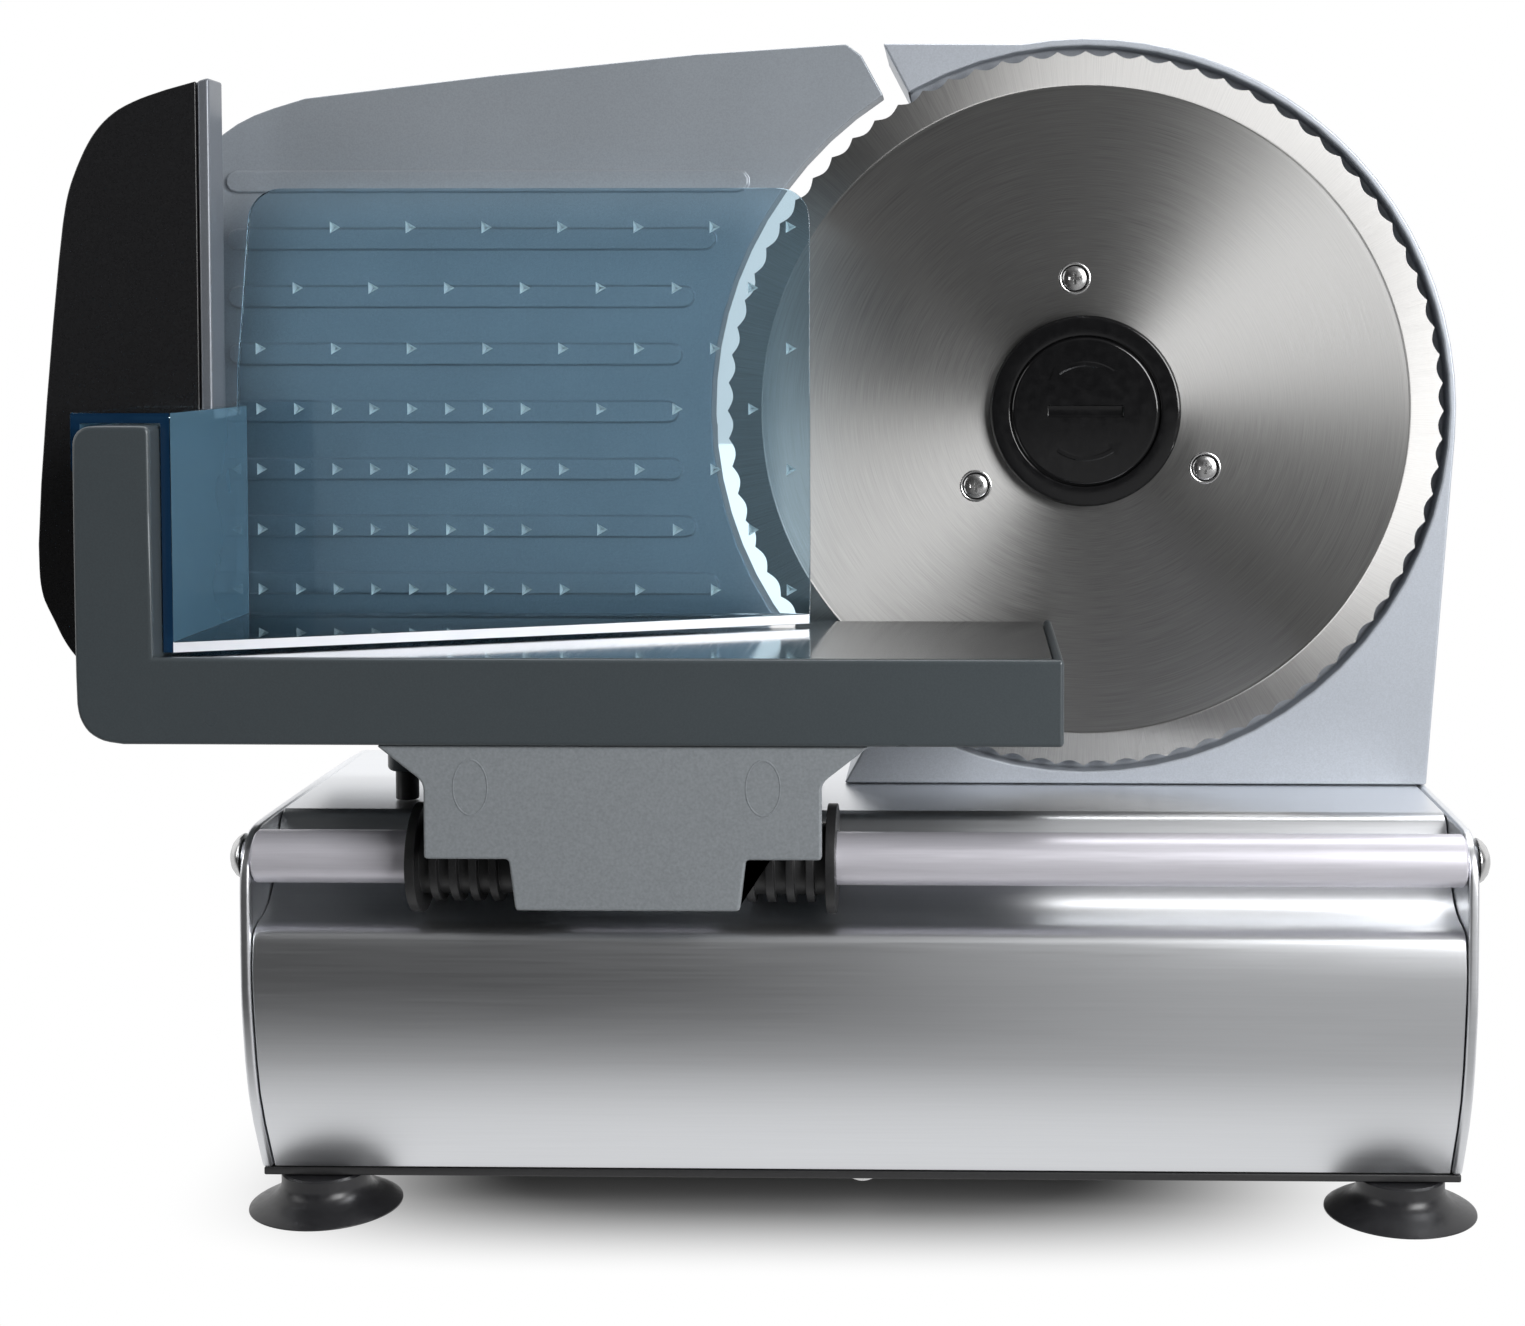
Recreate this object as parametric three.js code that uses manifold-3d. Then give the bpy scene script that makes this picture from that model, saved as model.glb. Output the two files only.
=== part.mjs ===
// Electric food slicer with a round serrated blade, a sliding carriage and a thickness guide plate.
// Millimetres, +Z up. While it is built, X = 0 is the blade axis, Y = 0 the blade's front face and
// Z = 0 the worktop; the finished group is then moved so that its origin is the centre of its footprint.
import * as THREE from "three";
import { mergeVertices } from "three/addons/utils/BufferGeometryUtils.js";
import Module from "manifold-3d";

const wasm = await Module();
wasm.setup();

// Clearances
const GAP = 0.3; // between pieces that touch
const RUNNING = 0.3; // radial, between a shaft and its bore
const OVERSHOOT = 1; // a cutter reaches this far past the face that it cuts

// Level of the base's flat top, which the other heights start from
const BASE_TOP_Z = 100;

// Blade
const BLADE_R = 95;
const BLADE_T = 1.5;
const BLADE_LIFT = 5; // above the base
const BLADE_AXIS_Z = BASE_TOP_Z + BLADE_LIFT + BLADE_R;
const SCALLOPS = 80;
const SCALLOP_DEPTH = 1.4;
const GROUND_RING_W = 8.7;
const BLADE_SCREW_PCR = 35.2;
const BLADE_SCREW_FIRST = 94.6;
const BLADE_SCREW_HEAD_R = 3.4;
const BLADE_SCREW_HEAD_H = 1.1;
const BLADE_SCREW_R = 1.5;

// Hub, lock and carrier
const HUB_R = 25.3;
const HUB_H = 2.8;
const HUB_CHAMFER = 0.8;
const HUB_BOSS_R = 13;
const LOCK_R = 19.6;
const LOCK_T = 1.8;
const LOCK_STEM_R = 5;
const COIN_SLOT_L = 20.4;
const COIN_SLOT_W = 3.2;
const COIN_SLOT_DEPTH = 1.2;
const CARRIER_R = 42;
const CARRIER_T = 3;
const SPINDLE_R = 6;
const SPINDLE_FLANGE_R = 16;
const SPINDLE_FLANGE_T = 1.1;

// Blade housing
const BLADE_CLEARANCE = 1.4; // round the blade's edge
const HOUSING_RIM = 1.8;
const RECESS_R = BLADE_R + BLADE_CLEARANCE;
const HOUSING_R = RECESS_R + HOUSING_RIM;
const HOUSING_DEPTH = 44;
const HOUSING_WALL = 3;
const HOUSING_SETBACK = 9; // inside the blade's edge on the cutting side
const HOUSING_HIDDEN_R = BLADE_R - HOUSING_SETBACK;
const HIDDEN_START = 2; // degrees past the slanted corner
const HOUSING_RIGHT_FOOT = 91.2;
const HOUSING_LEFT_FOOT = -64;
const HOUSING_CORNER_X = -53.6;
const HOUSING_TOP_RISE = 2; // above the blade
const HOUSING_TOP_Z = BLADE_AXIS_Z + BLADE_R + HOUSING_TOP_RISE;
const COVER_T = 2.5;
const BUSH_WALL = 3.4;
const BUSH_L = 9;
const COVER_BOSS_R = 11;
const COVER_BOSS_L = 10;
const COVER_SCREW_R = 1.8;
const COVER_SCREW_HEAD_R = 3.6;
const COVER_SCREW_HEAD_H = 1.6;
const COVER_SCREW_L = 9;
const COVER_SCREW_BOSS_R = 5;
const COVER_SCREW_X = [-44, 80, -33];
const COVER_SCREW_RISE = 12; // above the base
const COVER_SCREW_DROP = 16.2; // below the housing's top

// Worm drive
const GEAR_TEETH = 36;
const GEAR_MODULE = 2;
const GEAR_WIDTH = 8;
const GEAR_Y = 23;
const TOOTH_ADDENDUM = 1.6;
const TOOTH_DEDENDUM = 2;
const TOOTH_TIP_W = 1.3;
const TOOTH_ROOT_W = 3.5;
const WORM_PITCH_R = 7;
const WORM_CORE_R = 4.8;
const WORM_TURNS = 3;
const WORM_SHAFT_R = 3;
const WORM_BEARING_R = 6.2;
const WORM_BEARING_L = 10;
const WORM_BEARING_RISE = 26;
const LUG_W = 16;

// Motor
const MOTOR_R = 24;
const MOTOR_WALL = 1.6;
const STATOR_WALL = 5;
const ARMATURE_R = 15.5;
const ARMATURE_L = 26;
const COMMUTATOR_R = 8;
const COMMUTATOR_L = 9;
const FAN_R = 19;
const FAN_BLADES = 7;
const FAN_HUB_R = 6;
const FAN_H = 4;
const FAN_VANE_T = 1.2;
const MOTOR_CAP_T = 2.5;
const MOTOR_DROP = 9;
const MOTOR_SPARE = 3.7; // over the fan
const MOTOR_BOSS_R = 7;
const MOTOR_BOSS_L = 7;
const BRACKET_T = 3;
const BRACKET_HALF = [27, 18];
const BRACKET_POST_R = 4;

// Base
const RAIL_Y = -56;
const BASE_LEFT = -205;
const HOUSING_OVERHANG = 2.2; // past the base cover
const BASE_RIGHT = HOUSING_RIGHT_FOOT - HOUSING_OVERHANG;
const BASE_REAR_Y = 75;
const BASE_REAR_ROUND = 30;
const SHEET_T = 1.2;
const FOOT_H = 9.7;
const BOTTOM_T = 2;
const BOTTOM_SETBACK = 11; // behind the rail
const BOTTOM_FRONT_Y = RAIL_Y + BOTTOM_SETBACK;
const BULGE_REACH = 5; // in front of the rail
const BULGE_FRONT_Y = RAIL_Y - BULGE_REACH;
const BULGE_LOW = [5, 22]; // behind the bulge's front, above the foot
const BULGE_MIDDLE_DROP = 17; // below the crest
const BULGE_HIGH = [0.15, 5.5]; // behind the bulge's front, below the crest
const BULGE_CREST = [3.85, 1.6]; // in front of the crest, below it
const END_PLATE_T = 2.5;
const END_PLATE_LIP = 1;
const FOOT_SKIRT_R = 19;
const FOOT_NECK_R = 11;
const FOOT_CUP = 3;
const FOOT_RIM_W = 1.5;
const FOOT_RIM_T = 0.8;
const FOOT_FLARE = [1.5, 3.8]; // outside the neck, above the worktop
const FOOT_NECK_Z = 5.6;
const FOOT_STUD_R = 3;
const FOOT_STUD_L = 5;
const FOOT_INSET = 11.3;
const FOOT_FRONT_SETBACK = 7;
const FOOT_FRONT_Y = BOTTOM_FRONT_Y + FOOT_FRONT_SETBACK;
const FOOT_REAR_SETBACK = 19;
const FOOT_REAR_Y = BASE_REAR_Y - FOOT_REAR_SETBACK;
const BOTTOM_SCREW_R = 2;
const BOTTOM_SCREW_HEAD_R = 4;
const BOTTOM_SCREW_HEAD_H = 1.8;
const BOTTOM_SCREW_X = -57.5;
const BOTTOM_SCREW_SETBACK = 6;
const BOTTOM_SCREW_AT = [BOTTOM_SCREW_X, BOTTOM_FRONT_Y + BOTTOM_SCREW_SETBACK];
const BOTTOM_SCREW_L = 6.2;

// Rail
const RAIL_R = 6.4;
const RAIL_DROP = 7; // below the base's top
const RAIL_Z = BASE_TOP_Z - RAIL_DROP;
const RAIL_CRADLE_R = 16;
const RAIL_SCREW_R = 3;
const RAIL_SCREW_L = 12;
const RAIL_SCREW_HEAD_R = 5.5;
const RAIL_SCREW_HEAD_H = 3.2;

// Carriage
const CARRIAGE_LEFT = -239.5;
const CARRIAGE_RIGHT = -9;
const CARRIAGE_REACH = 24; // in front of the rail
const CARRIAGE_FRONT_Y = RAIL_Y - CARRIAGE_REACH;
const CARRIAGE_BACK_Y = -5;
const CARRIAGE_LIFT = 31.5; // above the rail
const CARRIAGE_BOTTOM_Z = RAIL_Z + CARRIAGE_LIFT;
const TRAY_H = 20;
const TRAY_TOP_Z = CARRIAGE_BOTTOM_Z + TRAY_H;
const TRAY_PLATE_T = 1.2;
const LIP_T = 3;
const WALL_T = 18.2;
const WALL_H = 54.5; // above the tray
const WALL_TOP_Z = TRAY_TOP_Z + WALL_H;
const WALL_SETBACK = 17; // in front of the carriage's back
const WALL_BACK_Y = CARRIAGE_BACK_Y - WALL_SETBACK;
const WALL_TOP_ROUND = [2, 5]; // right, left
const CARRIAGE_SKIN = 2.6;
const CARRIAGE_CORNER_R = 11;
const BRACKET_PLATE_T = 3;
const BRACKET_PLATE_SETBACK = 1.5;
const BRACKET_BLOCK = [-137.2, -84.6];
const BRACKET_EARS = [-158.6, -65.4];
const BRACKET_EAR_LIFT = 4.5; // above the rail's axis
const BRACKET_EAR_Z = RAIL_Z + BRACKET_EAR_LIFT;
const BRACKET_DROP = 7.6; // below the rail's axis
const BRACKET_BOTTOM_Z = RAIL_Z - BRACKET_DROP;
const BRACKET_SHOULDER = 8.9;
const BRACKET_SHOULDER_Z = CARRIAGE_BOTTOM_Z - BRACKET_SHOULDER;
const BRACKET_FLARE = 11;
const BRACKET_DRAFT = 1.5;
const BRACKET_ROUND = 1;
const BRACKET_BLOCK_BEHIND = 12; // the rail's axis
const BRACKET_BLOCK_BACK_Y = RAIL_Y + BRACKET_BLOCK_BEHIND;
const SLIDER_FLANGE_R = 13.2;
const SLIDER_FLANGE_T = 2.4;
const SLIDER_RIB_R = 10.5;
const SLIDER_RIB_T = 2;
const SLIDER_RIB_PITCH = 4.8;
const SLIDER_RIBS = 4;
const SLIDER_SLEEVE_R = 8.7;
const SLIDER_INSERT = 8;
const SLIDER_OUT = [7, 2.6]; // beyond the left ear, beyond the right ear
const GLIDE_R = 3;
const GLIDE_POST_R = 5;
const GLIDE_TIP = 8;
const GLIDE_BEHIND = 34; // the rail's axis
const GLIDE_Y = RAIL_Y + GLIDE_BEHIND;
const GLIDE_AT = [-176, -76];

// Thumb guard
const GUARD_T = 11;
const GUARD_FACE_T = 1.2;
const GUARD_EDGE = 3.4;
const GUARD_REACH = 31.9; // left of the carriage
const GUARD_LEFT = CARRIAGE_LEFT - GUARD_REACH;
const GUARD_LAP = 14; // behind the carriage wall
const GUARD_RIGHT = CARRIAGE_LEFT + GUARD_LAP;
const GUARD_LIFT = 1.5;
const GUARD_BOTTOM_Z = CARRIAGE_BOTTOM_Z + GUARD_LIFT;
const GUARD_H = 160;
const GUARD_TOP_Z = GUARD_BOTTOM_Z + GUARD_H;
const GUARD_HIGH = [[22.4, 8], [11.4, 23], [6.4, 47]]; // right of its left side, below its top
const GUARD_LOW = [[0, 40], [3.9, 20], [13.4, 7]]; // right of its left side, above its bottom

// Food pusher
const PUSHER_T = 2.5;
const PUSHER_RIGHT = -72;
const PUSHER_H = 113.5; // above the tray
const PUSHER_TOP_Z = TRAY_TOP_Z + PUSHER_H;
const PUSHER_BEHIND = 5.6; // the carriage wall
const PUSHER_FRONT_Y = WALL_BACK_Y + PUSHER_BEHIND;
const SADDLE_SETBACK = 6.5;
const SADDLE_FRONT_Y = CARRIAGE_FRONT_Y + SADDLE_SETBACK;
const SADDLE_LEG = 11; // below the wall's top
const SADDLE_LEG_Z = WALL_TOP_Z - SADDLE_LEG;
const PUSHER_CORNER_R = 10;
const PUSHER_LEFT_CUT = [4, 8];
const SPIKE_H = 3;
const SPIKE_R = 1.7;
const SPIKE_PITCH_X = 9.87;
const SPIKE_PITCH_Z = 15.7;
const SPIKE_DENSE = 8;
const SPIKE_DENSE_ROWS = 4;
const SPIKE_FROM_FLANGE = 3;
const SPIKE_FROM_TRAY = 8.6;

// Guide plate and its slide
const GUIDE_FACE_Y = 1.5;
const GUIDE_T = 2.5;
const GUIDE_SKIRT = 10;
const GUIDE_LEFT = -238;
const GUIDE_TOP_Z = HOUSING_TOP_Z;
const GUIDE_LIFT = 11; // above the base
const GUIDE_BOTTOM_Z = BASE_TOP_Z + GUIDE_LIFT;
const GUIDE_BLADE_GAP = 4.3;
const GUIDE_ARC_R = BLADE_R + GUIDE_BLADE_GAP;
const GUIDE_SLOT = 6.7;
const GUIDE_FOOT_CUT = [33, 46]; // the slanted lower left corner
const GUIDE_FOOT_RIGHT = 18; // left of the top right corner
const GUIDE_CORNER = [3, 3];
const GUIDE_TOP_FALL = [[42.7, 2.6], [96.3, 8], [147.2, 14]]; // left of the corner, below the top
// Start, pull and end of the upper left corner's curve, right of the left side and below the top
const GUIDE_LEFT_ROUND = [[22, 16.6], [0, 23.4], [0, 42]];
const GUIDE_ROUND_STEPS = 8;
const CARRIER_STANDOFF = 6;
const CARRIER_ARM_T = 5;
const CARRIER_ARM_LIFT = 3.5; // above the base
const RIB_COUNT = 8;
const RIB_PITCH = 15.3;
const RIB_RISE = 9.3; // above the tray
const RIB_FIRST_Z = TRAY_TOP_Z + RIB_RISE;
const RIB_W = 5.6;
const RIB_H = 1.2;
const RIB_START = 9.5; // right of the plate's left side
const RIB_NOSE_STEPS = 5;
const RIB_END_GAP = 8.7;
const RIB_END_R = GUIDE_ARC_R + RIB_END_GAP;
const GUIDE_TRAVEL = 15;
const CARRIER_X = -125;
const CARRIER_HALF_W = 25;
const CARRIER_PLATE_T = 4;
const CARRIER_DROP = 4; // below the blade's axis
const CARRIER_TOP_Z = BLADE_AXIS_Z - CARRIER_DROP;
const CARRIER_STEM_HALF = 6;
const CARRIER_BLOCK_Y = [26, 44];
const CAM_DROP = 48; // below the base's top
const CAM_Z = BASE_TOP_Z - CAM_DROP;
const CARRIER_BLOCK_BELOW = 14;
const CARRIER_BLOCK_ABOVE = 20;
const CARRIER_BLOCK_Z = [CAM_Z - CARRIER_BLOCK_BELOW, CAM_Z + CARRIER_BLOCK_ABOVE];
const GUIDE_BOSS_R = 6;
const GUIDE_SCREW_R = 2;
const GUIDE_SCREW_HEAD_R = 4;
const GUIDE_SCREW_HEAD_H = 2;
const GUIDE_SCREW_DROP = [66, 16]; // below the carrier's top
const GUIDE_SCREW_Z = GUIDE_SCREW_DROP.map((drop) => CARRIER_TOP_Z - drop);
const ROD_R = 4;
const ROD_SPREAD = 19;
const ROD_LIFT = 10; // above the cam
const ROD_Z = CAM_Z + ROD_LIFT;
const SUPPORT_T = 3;
const SUPPORT_FRONT_Y = 20;
const SUPPORT_SETBACK = 15.5; // inside the base's back
const SUPPORT_REAR_Y = BASE_REAR_Y - SUPPORT_SETBACK;
const SUPPORT_ABOVE = 12; // over the rods
const SUPPORT_TOP_Z = ROD_Z + SUPPORT_ABOVE;
const SUPPORT_SIDE = 5;
const CAM_DRUM_R = 9;
const CAM_GROOVE_DEPTH = 3.5;
const CAM_LEAD = 18;
const CAM_SHAFT_R = 5;
const CAM_NOSE_R = 4;
const CAM_BORE_CLEARANCE = 0.8;
const CAM_SPARE_TURN = 0.08;
const PIN_R = 2;
const PIN_L = 11;
const PIN_CLEARANCE = 0.9;
const KNOB_R = 22;
const KNOB_H = 17;
const KNOB_GRIP_R = 15;
const KNOB_SKIRT_H = 5;
const KNOB_FLUTES = 12;
const KNOB_EDGE = 1.5;
const KNOB_FACE_T = 4;

// Switch and cord gland
const SWITCH_AT = [-30, 42];
const SWITCH_HALF = [9, 14];
const SWITCH_BEZEL = 3;
const SWITCH_BEZEL_T = 2;
const SWITCH_DEPTH = 17;
const SWITCH_WALL = 2;
const SWITCH_POCKET = 9;
const ROCKER_PIN_R = 1.5;
const ROCKER_SINK = 0.5; // its pin lies this far inside the back face
const ROCKER_ROOT = 3;
const ROCKER_END = 3.4;
const ROCKER_MIDDLE = 2;
const GLAND_AT = [60, 32];
const GLAND_R = 6;
const GLAND_BORE_R = 3.6;
const GLAND_FLANGE_R = 9;
const GLAND_FLANGE_T = 4;
const GLAND_INSIDE = 3;
const GLAND_TAPER = 1.5;

// Finishes
const finish = (color, roughness, metalness, opacity = 1) =>
  new THREE.MeshStandardMaterial({
    color,
    roughness,
    metalness,
    opacity,
    transparent: opacity < 1,
    flatShading: true,
  });
const SILVER_PAINT = finish(0xa5acb6, 0.4, 0.5);
const GREY_PAINT = finish(0x8c9198, 0.45, 0.4);
const SILVER_PLASTIC = finish(0x7f868b, 0.45, 0.3);
const GRAPHITE_PLASTIC = finish(0x4b5358, 0.4, 0.2);
const SATIN_SHEET = finish(0xb4b8bc, 0.3, 0.9);
const BRIGHT_STEEL = finish(0xc9cacc, 0.2, 1);
const BLADE_STEEL = finish(0xb9b9b7, 0.28, 1);
const SCREW_STEEL = finish(0xb0b0b0, 0.3, 1);
const BLACK_PLASTIC = finish(0x161617, 0.4, 0);
const GLOSS_BLACK = finish(0x0c0c0d, 0.12, 0);
const BLACK_RUBBER = finish(0x1b1b1c, 0.8, 0);
const BLUE_CLEAR = finish(0x4f7f9c, 0.08, 0, 0.5);
const NYLON = finish(0xe4ddc8, 0.5, 0);
const BRONZE = finish(0xa8793f, 0.4, 1);
const COPPER = finish(0xb5693c, 0.4, 1);
const DARK_STEEL = finish(0x5c5f62, 0.5, 1);

const slicer = new THREE.Group();

// Solids from three.js geometry

// A closed geometry as a solid that can be joined and cut, with its faces turned outwards.
function solid(geometry) {
  const loose = geometry.index ? geometry.toNonIndexed() : geometry.clone();
  const bare = new THREE.BufferGeometry();
  bare.setAttribute("position", loose.getAttribute("position"));
  const merged = mergeVertices(bare, 1e-4);
  const index = merged.index.array;
  const faces = [];
  for (let i = 0; i < index.length; i += 3) {
    const [a, b, c] = [index[i], index[i + 1], index[i + 2]];
    if (a !== b && b !== c && a !== c) faces.push(a, b, c);
  }
  const vertProperties = merged.attributes.position.array;
  const make = (list) =>
    new wasm.Manifold(new wasm.Mesh({ numProp: 3, vertProperties, triVerts: new Uint32Array(list) }));
  const made = make(faces);
  return made.volume() > 0 ? made : make(faces.reverse());
}

// The solid as a named mesh of the slicer.
function add(name, made, material) {
  const { vertProperties, triVerts } = made.getMesh();
  const geometry = new THREE.BufferGeometry();
  geometry.setAttribute("position", new THREE.BufferAttribute(vertProperties, 3));
  geometry.setIndex(new THREE.BufferAttribute(triVerts, 1));
  geometry.computeVertexNormals();
  const mesh = new THREE.Mesh(geometry, material);
  mesh.name = name;
  slicer.add(mesh);
}

const join = (...parts) => parts.reduce((all, part) => all.add(part));
const cut = (body, ...tools) => tools.reduce((left, tool) => left.subtract(tool), body);

function box(x0, x1, y0, y1, z0, z1) {
  const geometry = new THREE.BoxGeometry(x1 - x0, y1 - y0, z1 - z0);
  return solid(geometry.translate((x0 + x1) / 2, (y0 + y1) / 2, (z0 + z1) / 2));
}

// Points along an arc, with angles in degrees.
function arc(cx, cy, r, from, to, steps) {
  return Array.from({ length: steps + 1 }, (_, i) => {
    const angle = THREE.MathUtils.degToRad(from + ((to - from) * i) / steps);
    return [cx + r * Math.cos(angle), cy + r * Math.sin(angle)];
  });
}

// A closed outline through corners [x, y, radius]; a corner with a radius is rounded.
function outline(corners) {
  const shape = new THREE.Shape();
  const towards = (x, y, [toX, toY], r) => {
    const length = Math.hypot(toX - x, toY - y);
    return [x + ((toX - x) * r) / length, y + ((toY - y) * r) / length];
  };
  corners.forEach(([x, y, r = 0], i) => {
    const next = corners[(i + 1) % corners.length];
    const start = towards(x, y, corners.at(i - 1), r);
    if (i === 0) shape.moveTo(...start);
    else shape.lineTo(...start);
    if (r > 0) shape.quadraticCurveTo(x, y, ...towards(x, y, next, r));
  });
  shape.closePath();
  return shape;
}

// The points of a polyline moved sideways by a distance, to its left; a closed one wraps round.
function offset(points, distance, closed) {
  const last = points.length - 1;
  const normal = (a, b) => {
    const length = Math.hypot(b[0] - a[0], b[1] - a[1]);
    return [-(b[1] - a[1]) / length, (b[0] - a[0]) / length];
  };
  return points.map((point, i) => {
    const before = i > 0 ? points[i - 1] : closed ? points[last] : null;
    const after = i < last ? points[i + 1] : closed ? points[0] : null;
    const n = normal(before ?? point, before ? point : after);
    const m = after ? normal(point, after) : n;
    const scale = distance / (1 + n[0] * m[0] + n[1] * m[1]);
    return [point[0] + (n[0] + m[0]) * scale, point[1] + (n[1] + m[1]) * scale];
  });
}

const extrude = (shape, depth) =>
  new THREE.ExtrudeGeometry(shape, { depth, bevelEnabled: false, curveSegments: 4 });

// An outline in X and Z, thick along Y.
const frontPlate = (shape, y0, y1) =>
  solid(extrude(shape, y1 - y0).rotateX(Math.PI / 2).translate(0, y1, 0));

// An outline in Y and Z, thick along X.
function sidePlate(shape, x0, x1) {
  const [x, y, z] = [new THREE.Vector3(1, 0, 0), new THREE.Vector3(0, 1, 0), new THREE.Vector3(0, 0, 1)];
  const turned = extrude(shape, x1 - x0).applyMatrix4(new THREE.Matrix4().makeBasis(y, z, x));
  return solid(turned.translate(x0, 0, 0));
}

// An outline in X and Y, thick along Z.
const topPlate = (shape, z0, z1) => solid(extrude(shape, z1 - z0).translate(0, 0, z0));

// A turned piece: [radius, along] points from the axis out and back to it.
function lathe(profile, segments) {
  return new THREE.LatheGeometry(profile.map(([r, along]) => new THREE.Vector2(r, along)), segments);
}
const alongY = (profile, x, z, segments = 18) => solid(lathe(profile, segments).translate(x, 0, z));
const alongZ = (profile, x, y, segments = 18) =>
  solid(lathe(profile, segments).rotateX(Math.PI / 2).translate(x, y, 0));
const alongX = (profile, y, z, segments = 18) =>
  solid(lathe(profile, segments).rotateZ(-Math.PI / 2).translate(0, y, z));

const rod = (r, from, to) => [[0, from], [r, from], [r, to], [0, to]];
const tube = (inner, outer, from, to) => [
  [inner, from],
  [outer, from],
  [outer, to],
  [inner, to],
  [inner, from],
];

// Where the layers of the blade stack lie along Y
const CARRIER_Y0 = BLADE_T + GAP;
const CARRIER_Y1 = CARRIER_Y0 + CARRIER_T;
const SPINDLE_Y0 = CARRIER_Y1 + GAP;
const RECESS_Y = SPINDLE_Y0 + SPINDLE_FLANGE_T + GAP;
const FRONT_WALL_Y = RECESS_Y + HOUSING_WALL;
const HOUSING_Y0 = GAP;
const COVER_Y0 = HOUSING_DEPTH + GAP;
const SPINDLE_Y1 = HOUSING_DEPTH - GAP;

// Where the base's own layers lie along Z
const BOTTOM_TOP_Z = FOOT_H + BOTTOM_T;
const COVER_BOTTOM_Z = BOTTOM_TOP_Z + GAP;
const TOP_INSIDE_Z = BASE_TOP_Z - SHEET_T;
const REAR_INSIDE_Y = BASE_REAR_Y - SHEET_T;

// The worm stands beside the gear
const GEAR_R = (GEAR_TEETH * GEAR_MODULE) / 2;
const WORM_X = GEAR_R + WORM_PITCH_R;
const WORM_LEAD = Math.PI * GEAR_MODULE;
const BRACKET_TOP_Z = TOP_INSIDE_Z - GAP;
const MOTOR_TOP_Z = BRACKET_TOP_Z - MOTOR_DROP;
const COMMUTATOR_GAP = 2;
const ROTOR_L = COMMUTATOR_GAP + COMMUTATOR_L + GAP + ARMATURE_L + OVERSHOOT + FAN_H;
const MOTOR_L = 2 * MOTOR_CAP_T + MOTOR_BOSS_L + ROTOR_L + MOTOR_SPARE;
const MOTOR_BOTTOM_Z = MOTOR_TOP_Z - MOTOR_L;

const screwAngles = [0, 120, 240].map((turn) => THREE.MathUtils.degToRad(BLADE_SCREW_FIRST + turn));
const bladeScrews = screwAngles.map((angle) => [
  BLADE_SCREW_PCR * Math.cos(angle),
  BLADE_AXIS_Z + BLADE_SCREW_PCR * Math.sin(angle),
]);

// Blade: rings of points from the hole's front edge over the ground rim and back to the hole.
function blade() {
  const perScallop = 2;
  const columns = SCALLOPS * perScallop;
  const edge = (i) => BLADE_R - SCALLOP_DEPTH * Math.sin((Math.PI * (i % perScallop)) / perScallop);
  const inner = BLADE_R - GROUND_RING_W;
  const hole = HUB_BOSS_R + GAP;
  const rings = [
    [() => hole, 0],
    [() => inner, 0],
    [edge, BLADE_T],
    [() => hole, BLADE_T],
  ];
  const points = rings.map(([radius, y]) =>
    Array.from({ length: columns }, (_, i) => {
      const angle = (2 * Math.PI * i) / columns;
      return [radius(i) * Math.cos(angle), y, BLADE_AXIS_Z + radius(i) * Math.sin(angle)];
    }),
  );
  const corners = [];
  points.forEach((ring, k) => {
    const next = points[(k + 1) % points.length];
    ring.forEach((a, i) => {
      const j = (i + 1) % columns;
      corners.push(...a, ...ring[j], ...next[j], ...a, ...next[j], ...next[i]);
    });
  });
  const geometry = new THREE.BufferGeometry();
  geometry.setAttribute("position", new THREE.Float32BufferAttribute(corners, 3));
  const holes = bladeScrews.map(([x, z]) =>
    alongY(rod(BLADE_SCREW_R + RUNNING, -OVERSHOOT, BLADE_T + OVERSHOOT), x, z, 12),
  );
  return cut(solid(geometry), ...holes);
}

// A cross-head screw whose head stands at a face and whose shank runs along Y by a signed length.
function crossScrew([x, z], face, headR, headH, shankR, length) {
  const way = Math.sign(length);
  const top = face - way * headH;
  const profile = [
    [0, top],
    [headR * 0.7, top],
    [headR, face - way * headH * 0.4],
    [headR, face],
    [shankR, face],
    [shankR, face + length],
    [0, face + length],
  ];
  const [arm, half] = [headR * 0.5, headR * 0.13];
  const recess = [top - way * OVERSHOOT, top + way * headH * 0.6].sort((a, b) => a - b);
  return cut(
    alongY(profile, x, z, 10),
    box(x - arm, x + arm, ...recess, z - half, z + half),
    box(x - half, x + half, ...recess, z - arm, z + arm),
  );
}

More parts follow.
